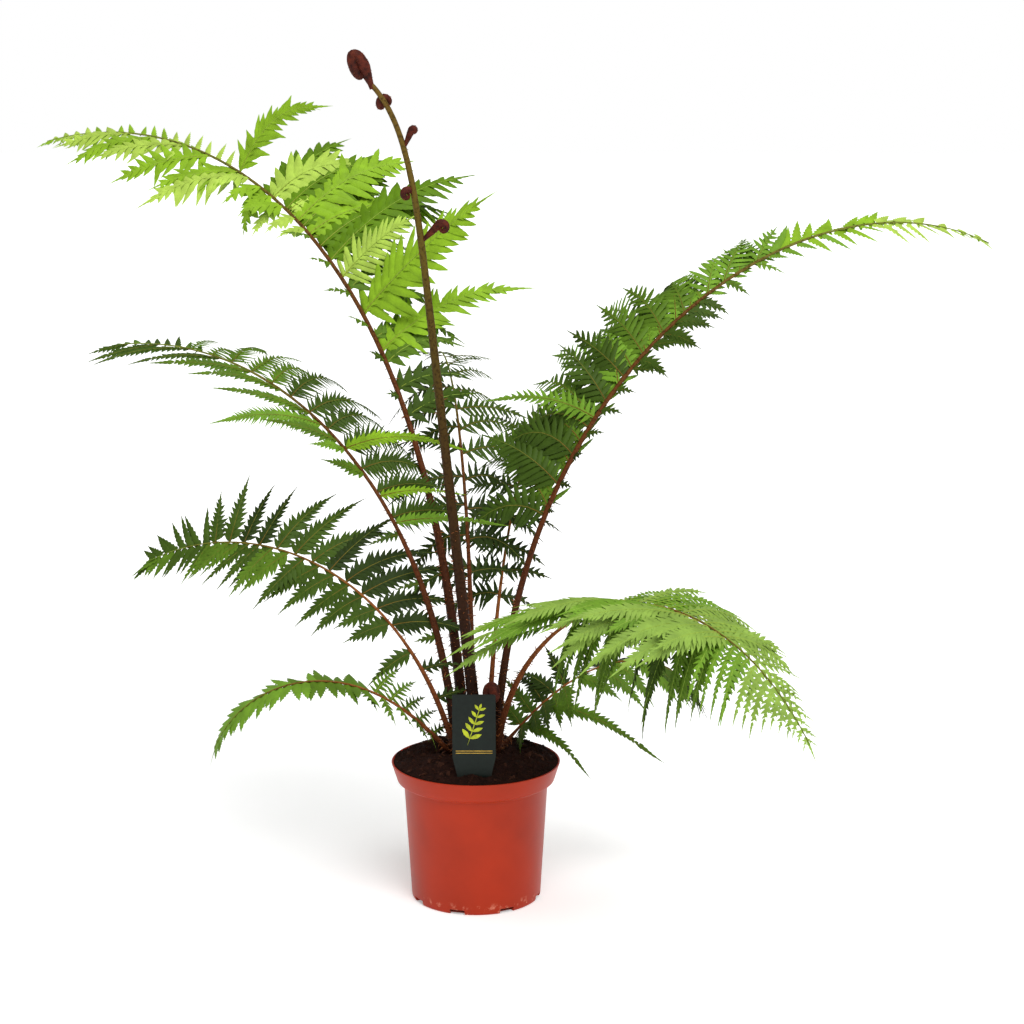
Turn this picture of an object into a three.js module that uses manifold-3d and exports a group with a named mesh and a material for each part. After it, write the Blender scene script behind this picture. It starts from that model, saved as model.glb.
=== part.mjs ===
// A potted Australian tree fern: a nursery pot filled with soil, a short crown, nine open fronds,
// one young frond that still uncurls, a furled bud and a plain plant tag.
// Millimetres and degrees, +Z up. The origin is the centre of the pot's flat underside, and the
// plant is looked at along +Y. An azimuth of 0 is +X, and 90 is away from the viewer.
import * as THREE from "three";
import { mergeVertices } from "three/addons/utils/BufferGeometryUtils.js";
import Module from "manifold-3d";

const wasm = await Module();
wasm.setup();

// Clearance between two pieces that meet
const GAP = 0.3;

// The pot narrows from its rim to its foot, under a rim band that steps out over a sloping shoulder.
const POT = {
  height: 173.5,
  rimRadius: 105,
  bandHeight: 23,
  bandFootRadius: 97.7,
  shoulderRadius: 89.5,
  shoulderDrop: 4,
  footRadius: 80.6,
  wall: 2.4,
  floor: 3,
  edge: 1.5,
  facets: 40,
};

// Drainage slots through the pot's bottom edge
const SLOT = { count: 8, firstAzimuth: 29, width: 19, height: 6, depth: 8 };

// The soil lies a little under the rim and is heaped up to a level place round the crown.
const SOIL = { wallTop: 170, crownTop: 185, crownRadius: 72 };

// The crown is the stem's short top, cut flat at soil level. Each ring is a radius at a height over
// the cut.
const CROWN = {
  rings: [
    [31, 0],
    [29, 22],
    [23, 44],
    [14, 58],
  ],
  facets: 14,
};

// The tag is a thin card on a pointed foot that is pushed into the soil just inside the front rim.
const TAG = {
  width: 52,
  top: 284,
  neck: 204,
  footWidth: 20,
  footEnd: 134,
  thickness: 1.2,
  corner: 3,
  place: { x: -0.5, y: -86 },
  leanForward: 5,
};

// Stalks and rachises
const STALK = { sides: 7, steps: 6, foot: 26 };
const RACHIS = { sides: 4, stepsPerPart: 6, tipRadius: 0.8, walk: 80 };

// A pinna is a leaflet of the first order: a thin keeled blade with a toothed outline. Pinnae stand a
// little closer towards the end of their row, and the left-hand ones a little further on.
const PINNA = {
  steps: 5,
  widthOfLength: 0.2,
  widthTaper: 0.6,
  rootHalfWidth: 1.6,
  tipHalfWidth: 0.7,
  notch: 0.6,
  keelOfLength: 0.013,
  leastKeel: 1,
  keelAtTip: 0.5,
  crowding: 0.95,
  firstAt: 0.25,
  stagger: 0.15,
  sagLength: 90,
  shortest: 14,
  shortenings: [1, 0.85, 0.7, 0.55, 0.4],
};

// The open fronds. Each leaves its seat on the crown towards its heading and sweeps round by so much.
// It climbs at the angle rise, which turns to fall at the tip, the later the larger bend is. From the
// share bare on it is a blade, rolled about the rachis, and the piece with the tip starts at the share
// splitAt of that blade. Pinnae stand in rows on the right hand (1) or the left hand (-1), between two
// shares of the blade. Along a row their length runs through the values of pinna, and they are half wide
// to each side. They start at an angle to the rachis, lifted above the blade's plane by lift, and droop by
// sag: each is given at the start and at the end of the row.
const FRONDS = [
  {
    name: "frond_high_left",
    seat: { azimuth: 140, radius: 22, height: 235 },
    heading: 120.4, sweep: 31.7, rise: 78.8, fall: -12.6, bend: 1.41, length: 1180, bare: 0.31,
    stalkRadius: 7, rachisRadius: 4.2, splitAt: 0.53, roll: 8, rollTip: 20,
    rows: [
      { hand: 1, span: [0.02, 0.3], count: 4, pinna: [150, 210, 220], half: 24,
        angle: [58, 68], lift: [1.2, 0.9], sag: [1, 0.9] },
      { hand: 1, span: [0.3, 0.48], count: 5, pinna: [220, 220, 195], half: 30,
        angle: [74, 92], lift: [0.8, 0.9], sag: [0.5, 0.6] },
      { hand: 1, span: [0.55, 0.57], count: 1, pinna: [165, 165], half: 18,
        angle: [112, 112], lift: [1.8, 1.8], sag: [1.4, 1.4] },
      { hand: 1, span: [0.6, 1], count: 5, pinna: [45, 40, 20], half: 8,
        angle: [60, 45], lift: [0.5, 0.2], sag: [0.5, 0.3] },
      { hand: -1, span: [0.02, 0.4], count: 4, pinna: [30, 50, 40], half: 8,
        angle: [75, 70], lift: [0.8, 0.4], sag: [0.8, 0.8] },
      { hand: -1, span: [0.44, 0.53], count: 2, pinna: [65, 85], half: 16,
        angle: [100, 120], lift: [0, -0.4], sag: [1.5, 2.2] },
      { hand: -1, span: [0.53, 0.84], count: 5, pinna: [170, 150, 135, 110], half: 14,
        angle: [60, 26], lift: [0.1, 0.05], sag: [0.55, 0.3] },
      { hand: -1, span: [0.84, 1], count: 3, pinna: [80, 30], half: 8,
        angle: [30, 25], lift: [0, 0], sag: [0.25, 0.2] },
    ],
    color: 0x7fb22c,
  },
  {
    name: "frond_high_right",
    seat: { azimuth: 10, radius: 26, height: 205 },
    heading: 15, sweep: 15, rise: 85, fall: -21, bend: 1.3, length: 1090, bare: 0.27,
    stalkRadius: 5.6, rachisRadius: 3.8, splitAt: 0.64, roll: -14, rollTip: -20,
    rows: [
      { hand: -1, span: [0.02, 0.64], count: 13, pinna: [140, 155, 150, 110], half: 26,
        angle: [62, 48], lift: [0.5, 0.25], sag: [1.15, 0.9] },
      { hand: -1, span: [0.64, 1], count: 7, pinna: [100, 80, 40], half: 13,
        angle: [46, 40], lift: [0.25, 0.2], sag: [0.9, 0.7] },
      { hand: 1, span: [0.02, 0.28], count: 3, pinna: [30, 50], half: 8,
        angle: [75, 65], lift: [0.3, 0.1], sag: [0.9, 1.2] },
      { hand: 1, span: [0.28, 0.42], count: 3, pinna: [60, 90, 50], half: 14,
        angle: [70, 55], lift: [0.1, 0], sag: [1.3, 1.6] },
      { hand: 1, span: [0.44, 1], count: 6, pinna: [45, 60, 50, 25], half: 10,
        angle: [60, 45], lift: [0.1, 0.1], sag: [1.3, 1] },
    ],
    color: 0x4f8f3a,
  },
  {
    name: "frond_mid_left",
    seat: { azimuth: 180, radius: 27, height: 215 },
    heading: 141, sweep: 14, rise: 81.5, fall: -9, bend: 1.17, length: 778, bare: 0.34,
    stalkRadius: 5.8, rachisRadius: 3.4, splitAt: 0.5, roll: 18, rollTip: 14,
    rows: [
      { hand: 1, span: [0.02, 0.96], count: 11, pinna: [100, 115, 80, 30], half: 20,
        angle: [90, 66], lift: [1, 0.1], sag: [0.95, 0.7] },
      { hand: -1, span: [0.1, 1], count: 8, pinna: [60, 140, 150, 120, 40], half: 9,
        angle: [54, 24], lift: [0.5, 0], sag: [0.6, 0.3] },
    ],
    color: 0x3d7a2e,
  },
  {
    name: "frond_low_left",
    seat: { azimuth: 205, radius: 31, height: 198 },
    heading: 153, sweep: 13, rise: 70.7, fall: -28, bend: 1.19, length: 529, bare: 0.3,
    stalkRadius: 4, rachisRadius: 2.6, splitAt: 0.56, roll: 58, rollTip: 55,
    rows: [
      { hand: 1, span: [0.02, 0.56], count: 7, pinna: [90, 125, 120, 100], half: 17,
        angle: [98, 68], lift: [0.05, 0.05], sag: [0.6, 0.5] },
      { hand: 1, span: [0.56, 1], count: 5, pinna: [85, 50, 20], half: 10,
        angle: [66, 36], lift: [0.05, 0.05], sag: [0.4, 0.3] },
      { hand: -1, span: [0.02, 0.56], count: 7, pinna: [55, 80, 90, 85], half: 15,
        angle: [72, 52], lift: [0.05, 0.05], sag: [0.7, 0.5] },
      { hand: -1, span: [0.56, 1], count: 5, pinna: [80, 50, 20], half: 10,
        angle: [50, 30], lift: [0.05, 0.05], sag: [0.4, 0.3] },
    ],
    color: 0x2f6b2d,
  },
  {
    name: "frond_front_right",
    seat: { azimuth: 335, radius: 31, height: 200 },
    heading: 318, sweep: -12, rise: 80, fall: -50, bend: 0.93, length: 636, bare: 0.38,
    stalkRadius: 4.5, rachisRadius: 3, splitAt: 0.6, roll: 0, rollTip: 0,
    rows: [
      { hand: 1, span: [0.02, 0.6], count: 9, pinna: [190, 190, 150], half: 19,
        angle: [120, 98], lift: [0.3, 0.25], sag: [0.3, 0.5] },
      { hand: 1, span: [0.12, 0.6], count: 4, pinna: [100, 120, 100], half: 17,
        angle: [85, 68], lift: [-0.4, -0.4], sag: [1.6, 2] },
      { hand: 1, span: [0.6, 1], count: 6, pinna: [110, 80, 30], half: 10,
        angle: [70, 42], lift: [0, 0], sag: [1.6, 2.2] },
      { hand: -1, span: [0.02, 0.6], count: 8, pinna: [100, 130, 110], half: 19,
        angle: [85, 62], lift: [0.25, 0.15], sag: [0.35, 0.8] },
      { hand: -1, span: [0.6, 1], count: 5, pinna: [90, 50, 20], half: 10,
        angle: [60, 42], lift: [0.1, 0.05], sag: [0.8, 1.2] },
    ],
    color: 0x5f9c3f,
  },
  {
    name: "frond_small_left",
    seat: { azimuth: 195, radius: 35, height: 188 },
    heading: 198, sweep: 0, rise: 49, fall: -68, bend: 1.65, length: 355, bare: 0.28,
    stalkRadius: 3.4, rachisRadius: 2, splitAt: 0.45, roll: 0, rollTip: 0,
    rows: [
      { hand: 1, span: [0.02, 1], count: 7, pinna: [60, 60, 50, 20], half: 13,
        angle: [105, 45], lift: [0.3, 0], sag: [0.4, 0.5] },
      { hand: -1, span: [0.02, 1], count: 7, pinna: [60, 60, 50, 20], half: 13,
        angle: [100, 40], lift: [0.05, 0], sag: [0.6, 0.5] },
    ],
    color: 0x4a8b2f,
  },
  {
    name: "frond_small_right",
    seat: { azimuth: 20, radius: 34, height: 186 },
    heading: 22, sweep: 0, rise: 45, fall: -70, bend: 1.85, length: 330, bare: 0.1,
    stalkRadius: 3.4, rachisRadius: 2, splitAt: 0.5, roll: -10, rollTip: 0,
    rows: [
      { hand: 1, span: [0.3, 1], count: 6, pinna: [80, 100, 80, 30], half: 15,
        angle: [62, 50], lift: [0.1, 0], sag: [1.2, 1.8] },
      { hand: 1, span: [0.19, 0.2], count: 1, pinna: [165, 165], half: 13,
        angle: [38, 38], lift: [-0.35, -0.35], sag: [0.45, 0.45] },
      { hand: 1, span: [0.05, 0.06], count: 1, pinna: [110, 110], half: 11,
        angle: [62, 62], lift: [-0.1, -0.1], sag: [1.3, 1.3] },
      { hand: -1, span: [0.3, 1], count: 6, pinna: [50, 90, 70, 30], half: 14,
        angle: [60, 45], lift: [0, 0], sag: [0.8, 1] },
    ],
    color: 0x2c5f2a,
  },
  {
    name: "frond_back_right",
    seat: { azimuth: 55, radius: 28, height: 215 },
    heading: 75, sweep: 0, rise: 78, fall: 15, bend: 1.3, length: 500, bare: 0.36,
    stalkRadius: 3.8, rachisRadius: 2.4, splitAt: 0.5, roll: 0, rollTip: 0,
    rows: [
      { hand: 1, span: [0.02, 1], count: 7, pinna: [60, 80, 60, 20], half: 17,
        angle: [80, 45], lift: [0.1, 0], sag: [1.4, 1] },
      { hand: -1, span: [0.02, 1], count: 7, pinna: [90, 125, 90, 20], half: 19,
        angle: [80, 45], lift: [0.1, 0], sag: [1.4, 1] },
    ],
    color: 0x274f26,
  },
  {
    name: "frond_back",
    seat: { azimuth: 100, radius: 26, height: 225 },
    heading: 98, sweep: 0, rise: 88, fall: -14, bend: 1.4, length: 660, bare: 0.32,
    stalkRadius: 4.4, rachisRadius: 2.8, splitAt: 0.45, roll: 0, rollTip: 0,
    rows: [
      { hand: 1, span: [0.02, 1], count: 9, pinna: [90, 140, 110, 30], half: 20,
        angle: [80, 45], lift: [0.1, 0], sag: [1.3, 1] },
      { hand: -1, span: [0.02, 1], count: 9, pinna: [90, 140, 110, 30], half: 20,
        angle: [80, 45], lift: [0.1, 0], sag: [1.3, 1] },
    ],
    color: 0x274f26,
  },
];

// The young frond is a thick stalk that bends over at its end. Its blade is still coiled up in a head at
// the tip and in curls at its sides. A curl sits at a share of the stalk's length, points to an azimuth
// and leans out from upright.
const YOUNG = {
  seat: { azimuth: 250, radius: 6, height: 245 },
  heading: 180, sweep: 0, rise: 84, fall: 45, bend: 12, length: 768,
  stalkRadius: 7.5, tipRadius: 3,
  steps: 16,
  head: { stalk: 6, radius: 7, coil: 7.4, stretch: 2.1, azimuth: 195, lean: 19 },
  curls: [
    { share: 0.745, azimuth: 350, lean: 46, stalk: 29, radius: 2.3, coil: 6 },
    { share: 0.82, azimuth: 205, lean: 60, stalk: 3, radius: 2.8, coil: 4.8 },
    { share: 0.89, azimuth: 355, lean: 28, stalk: 13, radius: 3.2, coil: 3.8 },
    { share: 0.96, azimuth: 80, lean: 65, stalk: 3, radius: 3.2, coil: 6.4 },
  ],
};
const BUD = {
  place: { x: 14, y: -13, z: 236 },
  stalk: 22, radius: 6.5, coil: 11, azimuth: 300, lean: 6,
};
// A coil turns through this angle, and shrinks by this share for each radian. It ends round an eye.
const COIL = {
  turn: 210,
  shrink: 0.1,
  steps: 7,
  sides: 6,
  neck: 0.8,
  eyeShare: 0.62,
  eyeWidth: 0.8,
  eyeRings: 5,
  slide: 0.2,
};

// Colour and roughness of each finish. An open frond has a green of its own.
const FINISH = {
  pot: { color: 0xb5452a, roughness: 0.45 },
  soil: { color: 0x2a1714, roughness: 0.95 },
  crown: { color: 0x3a1f16, roughness: 0.9 },
  stalk: { color: 0x7a4a26, roughness: 0.65 },
  youngStalk: { color: 0x6b5a26, roughness: 0.6 },
  coil: { color: 0x5c2118, roughness: 0.7 },
  tag: { color: 0x1f2a22, roughness: 0.4 },
};
const LEAF_ROUGHNESS = 0.5;

// Points nearer than this are one corner of a solid.
const MERGE = 1e-4;

const radians = THREE.MathUtils.degToRad;
const lerp = THREE.MathUtils.lerp;
const UP = new THREE.Vector3(0, 0, 1);

// Solids and geometry
function solidFrom(geometry) {
  const bare = geometry.clone();
  bare.deleteAttribute("normal");
  bare.deleteAttribute("uv");
  const merged = mergeVertices(bare, MERGE);
  return new wasm.Manifold(
    new wasm.Mesh({
      numProp: 3,
      vertProperties: merged.attributes.position.array,
      triVerts: new Uint32Array(merged.index.array),
    }),
  );
}

function geometryFrom(solid) {
  const { vertProperties, triVerts } = solid.getMesh();
  const geometry = new THREE.BufferGeometry();
  geometry.setAttribute("position", new THREE.BufferAttribute(vertProperties, 3));
  geometry.setIndex(new THREE.BufferAttribute(triVerts, 1));
  geometry.computeVertexNormals();
  return geometry;
}

// The largest body of a solid that a cut may have left in pieces, or a join with hollows sealed in it
function mainBody(solid) {
  return solid.decompose().reduce((most, body) => (body.volume() > most.volume() ? body : most));
}

// Whether a four-sided patch, seen from outside, has its last corner outside the plane of the others
function risesAtLast(a, b, c, d) {
  const outward = b.clone().sub(a).cross(c.clone().sub(a));
  return outward.dot(d.clone().sub(a)) > 0;
}

// A closed skin through a row of rings, whose points run anticlockwise about the direction of travel.
// Each patch is split so that it bulges out, because a thin twisted blade would else cross itself.
function skin(rings) {
  const sides = rings[0].length;
  const last = rings.length - 1;
  const points = rings.flat();
  const at = (ring, point) => ring * sides + (point % sides);
  const faces = [];
  for (let ring = 0; ring < last; ring++) {
    for (let point = 0; point < sides; point++) {
      const [a, b] = [at(ring, point), at(ring, point + 1)];
      const [c, d] = [at(ring + 1, point + 1), at(ring + 1, point)];
      const across = risesAtLast(points[a], points[b], points[c], points[d]);
      faces.push(...(across ? [a, b, d, b, c, d] : [a, b, c, a, c, d]));
    }
  }
  for (let point = 1; point < sides - 1; point++) {
    faces.push(at(0, 0), at(0, point + 1), at(0, point));
    faces.push(at(last, 0), at(last, point), at(last, point + 1));
  }
  const geometry = new THREE.BufferGeometry().setFromPoints(points);
  geometry.setIndex(faces);
  return geometry;
}

// A ring of points round a station, which has a point, a side and a normal direction and a radius
function roundRing({ point, side, normal, radius }, sides) {
  return Array.from({ length: sides }, (_, i) => {
    const angle = (2 * Math.PI * i) / sides;
    return point
      .clone()
      .addScaledVector(normal, radius * Math.cos(angle))
      .addScaledVector(side, radius * Math.sin(angle));
  });
}

const limb = (stations, sides) => skin(stations.map((station) => roundRing(station, sides)));

// A solid of revolution about Z from pairs of radius and height
function turned(profile, facets) {
  const points = profile.map(([radius, height]) => new THREE.Vector2(radius, height));
  return new THREE.LatheGeometry(points, facets).rotateX(Math.PI / 2);
}

// The pot's wall: its outer profile, and the inner one a wall's thickness inside
function potRadiusAt(height) {
  const bandFoot = POT.height - POT.bandHeight;
  const shoulder = bandFoot - POT.shoulderDrop;
  if (height <= shoulder) return lerp(POT.footRadius, POT.shoulderRadius, height / shoulder);
  if (height <= bandFoot)
    return lerp(POT.shoulderRadius, POT.bandFootRadius, (height - shoulder) / POT.shoulderDrop);
  return lerp(POT.bandFootRadius, POT.rimRadius, (height - bandFoot) / POT.bandHeight);
}

function wallHeights(top) {
  const bandFoot = POT.height - POT.bandHeight;
  return [bandFoot - POT.shoulderDrop, bandFoot, top];
}

function makePot() {
  const outside = [
    [0, 0],
    [POT.footRadius - POT.edge, 0],
    [potRadiusAt(POT.edge), POT.edge],
    ...wallHeights(POT.height - POT.edge).map((height) => [potRadiusAt(height), height]),
    [POT.rimRadius - POT.edge / 2, POT.height],
  ];
  const inside = [
    [POT.rimRadius - POT.wall, POT.height],
    ...wallHeights(POT.height - POT.edge)
      .slice(0, 2)
      .reverse()
      .map((height) => [potRadiusAt(height) - POT.wall, height]),
    [potRadiusAt(POT.floor) - POT.wall, POT.floor],
    [0, POT.floor],
  ];
  let pot = solidFrom(turned([...outside, ...inside], POT.facets));
  for (let i = 0; i < SLOT.count; i++) {
    const slot = new THREE.BoxGeometry(2 * SLOT.depth, SLOT.width, 2 * SLOT.height);
    slot.translate(POT.footRadius, 0, 0);
    slot.rotateZ(radians(SLOT.firstAzimuth + (360 * i) / SLOT.count));
    pot = pot.subtract(solidFrom(slot));
  }
  return pot;
}

// The soil, grown by a clearance where a neighbour is cut to it
function soilBody(grow) {
  const inner = (height) => [potRadiusAt(height) - POT.wall - GAP + grow, height];
  const floor = POT.floor + GAP;
  return turned(
    [
      [0, floor],
      inner(floor),
      ...wallHeights(SOIL.wallTop + grow).map(inner),
      [SOIL.crownRadius, SOIL.crownTop + grow],
      [0, SOIL.crownTop + grow],
    ],
    POT.facets,
  );
}

function crownBody(grow) {
  const foot = SOIL.crownTop + GAP;
  const rings = CROWN.rings.map(([radius, height]) => [radius + grow, foot + height]);
  rings[0][1] -= grow;
  rings.at(-1)[1] += grow;
  return turned([[0, rings[0][1]], ...rings, [0, rings.at(-1)[1]]], CROWN.facets);
}

// The tag's outline is a card with round top corners over a foot that narrows to its end.
function tagBody(grow) {
  const half = TAG.width / 2 + grow;
  const foot = TAG.footWidth / 2 + grow;
  const outline = new THREE.Shape();
  outline.moveTo(-foot, TAG.footEnd - grow);
  outline.lineTo(foot, TAG.footEnd - grow);
  outline.lineTo(half, TAG.neck);
  outline.lineTo(half, TAG.top - TAG.corner);
  outline.absarc(half - TAG.corner, TAG.top - TAG.corner, TAG.corner, 0, Math.PI / 2);
  outline.lineTo(TAG.corner - half, TAG.top);
  outline.absarc(TAG.corner - half, TAG.top - TAG.corner, TAG.corner, Math.PI / 2, Math.PI);
  outline.lineTo(-half, TAG.neck);
  const depth = TAG.thickness + 2 * grow;
  const card = new THREE.ExtrudeGeometry(outline, { depth, bevelEnabled: false, curveSegments: 3 });
  return card.translate(0, -SOIL.crownTop, -depth / 2).rotateX(Math.PI / 2);
}

// A frond's own frame: the seat is its origin, and it heads along +X until it sweeps round.
function frameAt(frond, share) {
  const turn = radians(frond.sweep * share);
  const along = Math.max(share, 0);
  const climb = radians(lerp(frond.rise, frond.fall, along ** frond.bend));
  const tangent = new THREE.Vector3(
    Math.cos(climb) * Math.cos(turn),
    Math.cos(climb) * Math.sin(turn),
    Math.sin(climb),
  );
  const side = new THREE.Vector3(Math.sin(turn), -Math.cos(turn), 0);
  const normal = side.clone().cross(tangent);
  return { tangent, side, normal };
}

// The rachis line, walked in small steps from the seat. Shares under 0 run on back into the crown.
function rachisLine(frond) {
  const points = [new THREE.Vector3()];
  const step = frond.length / RACHIS.walk;
  for (let i = 0; i < RACHIS.walk; i++) {
    const { tangent } = frameAt(frond, (i + 0.5) / RACHIS.walk);
    points.push(points[i].clone().addScaledVector(tangent, step));
  }
  return (share) => {
    if (share < 0) return points[0].clone().addScaledVector(frameAt(frond, 0).tangent, share * frond.length);
    const place = Math.min(share, 1) * RACHIS.walk;
    const i = Math.min(Math.floor(place), RACHIS.walk - 1);
    return points[i].clone().lerp(points[i + 1], place - i);
  };
}

// Stations along a stretch of the rachis line, with a radius that changes evenly
function stretch(frond, line, from, to, fromRadius, toRadius, steps) {
  return Array.from({ length: steps + 1 }, (_, i) => {
    const share = lerp(from, to, i / steps);
    const radius = lerp(fromRadius, toRadius, i / steps);
    return { point: line(share), radius, ...frameAt(frond, share) };
  });
}

// Reads a row of evenly spaced values at a share of its length
function evenly(values, share) {
  const place = share * (values.length - 1);
  const i = Math.min(Math.floor(place), values.length - 2);
  return lerp(values[i], values[i + 1], place - i);
}

// Every pinna of a frond, row by row, at its share u of the blade
function pinnaPlan(frond) {
  return frond.rows.flatMap((row) => {
    const shift = PINNA.firstAt + (row.hand < 0 ? PINNA.stagger : 0);
    return Array.from({ length: row.count }, (_, i) => {
      const share = ((i + shift) / row.count) ** PINNA.crowding;
      const [u, length, angle, lift, sag] = ["span", "pinna", "angle", "lift", "sag"].map((key) =>
        evenly(row[key], share),
      );
      return { hand: row.hand, half: row.half, u, length, angle, lift, sag };
    });
  });
}

// One pinna: stations of a right edge, a keel and a left edge, wide at the teeth and narrow between
function pinnaBlade(frond, line, pinna, shorten) {
  const { hand, u, length } = pinna;
  const share = lerp(frond.bare, 1, u);
  const { tangent, side, normal } = frameAt(frond, share);
  const roll = radians(lerp(frond.roll, frond.rollTip, u));
  const across = side.clone().multiplyScalar(Math.cos(roll)).addScaledVector(normal, Math.sin(roll));
  const above = normal.clone().multiplyScalar(Math.cos(roll)).addScaledVector(side, -Math.sin(roll));
  const angle = radians(pinna.angle);
  const start = tangent
    .clone()
    .multiplyScalar(Math.cos(angle))
    .addScaledVector(across, hand * Math.sin(angle))
    .addScaledVector(above, pinna.lift);
  const halfWidth = Math.min(pinna.half, PINNA.widthOfLength * length);
  const thickness = Math.max(PINNA.leastKeel, PINNA.keelOfLength * length);
  const step = (length * shorten) / PINNA.steps;
  const point = line(share);
  const rings = [];
  for (let i = 0; i <= PINNA.steps; i++) {
    const t = i / PINNA.steps;
    const sag = (pinna.sag * t * shorten * length) / PINNA.sagLength;
    const travel = start.clone().addScaledVector(UP, -sag).normalize();
    const edge = tangent.clone().addScaledVector(travel, -tangent.dot(travel)).normalize();
    const face = travel.clone().cross(edge).multiplyScalar(hand).normalize();
    const toothed = halfWidth * (1 - t) ** PINNA.widthTaper * (i % 2 ? 1 : PINNA.notch);
    const wide = i === 0 ? PINNA.rootHalfWidth : Math.max(toothed, PINNA.tipHalfWidth);
    const keel = thickness * lerp(1, PINNA.keelAtTip, t);
    const forward = point.clone().addScaledVector(edge, wide);
    const backward = point.clone().addScaledVector(edge, -wide);
    const under = point.clone().addScaledVector(face, -keel);
    rings.push(hand > 0 ? [backward, under, forward] : [forward, under, backward]);
    point.addScaledVector(travel, step);
  }
  return solidFrom(skin(rings));
}

// A coil in its own frame: a stalk up +Z that curls over towards +X, round an eye
function coilBody({ stalk, radius, coil, stretch: tall = 1 }) {
  const stations = [];
  const point = new THREE.Vector3();
  const side = new THREE.Vector3(0, 1, 0);
  const station = (turn, thick) => {
    const normal = new THREE.Vector3(Math.cos(turn), 0, -Math.sin(turn));
    stations.push({ point: point.clone(), side, normal, radius: thick });
  };
  station(0, radius * COIL.neck);
  point.z += stalk;
  const eye = new THREE.Vector3();
  const step = radians(COIL.turn) / COIL.steps;
  for (let i = 0; i <= COIL.steps; i++) {
    const turn = i * step;
    const size = Math.exp(-COIL.shrink * turn);
    station(turn, radius * size);
    const middle = turn + step / 2;
    const normal = new THREE.Vector3(Math.cos(turn), 0, -Math.sin(turn));
    eye.addScaledVector(point.clone().addScaledVector(normal, coil * size), 1 / (COIL.steps + 1));
    point.x += Math.sin(middle) * coil * size * step;
    point.z += Math.cos(middle) * coil * size * step;
  }
  const ball = new THREE.SphereGeometry(coil * COIL.eyeShare, COIL.sides + 1, COIL.eyeRings);
  ball.scale(1, COIL.eyeWidth, 1).translate(eye.x, eye.y, eye.z);
  const body = solidFrom(limb(stations, COIL.sides)).add(solidFrom(ball));
  return geometryFrom(body).scale(1, 1, tall);
}

// The model
const fern = new THREE.Group();
fern.name = "australian_tree_fern";
const neighbours = [];

function addMesh(parent, name, geometry, finish) {
  const material = new THREE.MeshStandardMaterial({ ...finish, metalness: 0 });
  const mesh = new THREE.Mesh(geometry, material);
  mesh.name = name;
  parent.add(mesh);
  return mesh;
}

// Keeps a piece in the model's frame, for later pieces to stay clear of
function remember(owner, solid, group = fern) {
  group.updateWorldMatrix(true, false);
  const placed = solid.transform(group.matrixWorld.toArray());
  neighbours.push({ owner, placed });
}

function isClear(owner, solid, group) {
  group.updateWorldMatrix(true, false);
  const placed = solid.transform(group.matrixWorld.toArray());
  return neighbours.every((other) => other.owner === owner || placed.minGap(other.placed, 2 * GAP) > GAP);
}

function groupAt({ azimuth, radius, height }, heading) {
  const group = new THREE.Group();
  group.position.set(radius * Math.cos(radians(azimuth)), radius * Math.sin(radians(azimuth)), height);
  group.rotation.z = radians(heading);
  fern.add(group);
  group.updateWorldMatrix(true, false);
  return group;
}

// Turns a coil's group so that it leans by an angle towards an azimuth
function leanTo(group, azimuth, lean) {
  group.rotation.order = "ZYX";
  group.rotation.z = radians(azimuth);
  group.rotation.y = radians(lean);
  group.updateWorldMatrix(true, false);
}

// Pot, soil, crown and tag
const tagGroup = new THREE.Group();
tagGroup.position.set(TAG.place.x, TAG.place.y, SOIL.crownTop);
tagGroup.rotation.x = radians(TAG.leanForward);
fern.add(tagGroup);
tagGroup.updateWorldMatrix(true, false);

const pot = makePot();
const tagSlot = solidFrom(tagBody(GAP)).transform(tagGroup.matrixWorld.toArray());
const soil = solidFrom(soilBody(0)).subtract(tagSlot);
const crown = solidFrom(crownBody(0));
addMesh(fern, "pot", geometryFrom(pot), FINISH.pot);
addMesh(fern, "soil", geometryFrom(soil), FINISH.soil);
addMesh(fern, "crown", geometryFrom(crown), FINISH.crown);
addMesh(tagGroup, "tag", tagBody(0), FINISH.tag);
remember("pot", pot);
remember("soil", soil);
remember("crown", crown);
remember("tag", solidFrom(tagBody(0)), tagGroup);

// Stalks stand clear of the crown, the soil and the stalks before them.
const ground = solidFrom(crownBody(GAP)).add(solidFrom(soilBody(GAP)));

function cutToGround(solid, group) {
  const own = group.matrixWorld.clone().invert();
  return mainBody(solid.subtract(ground.transform(own.toArray())));
}

// The young frond with its head and curls
const youngGroup = groupAt(YOUNG.seat, YOUNG.heading);
const youngLine = rachisLine(YOUNG);
const youngStations = stretch(
  YOUNG, youngLine, -STALK.foot / YOUNG.length, 1, YOUNG.stalkRadius, YOUNG.tipRadius, YOUNG.steps,
);
const youngStalk = cutToGround(solidFrom(limb(youngStations, STALK.sides)), youngGroup);
addMesh(youngGroup, "young_frond_stalk", geometryFrom(youngStalk), FINISH.youngStalk);
remember("young_frond_stalk", youngStalk, youngGroup);

// A coil slides out along its own stalk from a point in its carrier until it stands clear of it.
function addCoil(name, sizes, start) {
  const body = solidFrom(coilBody(sizes));
  const group = new THREE.Group();
  leanTo(group, sizes.azimuth, sizes.lean);
  fern.add(group);
  const outward = UP.clone().transformDirection(group.matrixWorld);
  group.position.copy(start);
  while (!isClear(name, body, group)) group.position.addScaledVector(outward, COIL.slide);
  addMesh(group, name, geometryFrom(body), FINISH.coil);
  remember(name, body, group);
}

youngGroup.updateWorldMatrix(true, false);
const onYoung = (share) => youngGroup.localToWorld(youngLine(share));
addCoil("young_frond_head", YOUNG.head, onYoung(1));
YOUNG.curls.forEach((curl, i) => addCoil(`young_frond_curl_${i + 1}`, curl, onYoung(curl.share)));
addCoil("bud", BUD, new THREE.Vector3(BUD.place.x, BUD.place.y, BUD.place.z));

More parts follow.
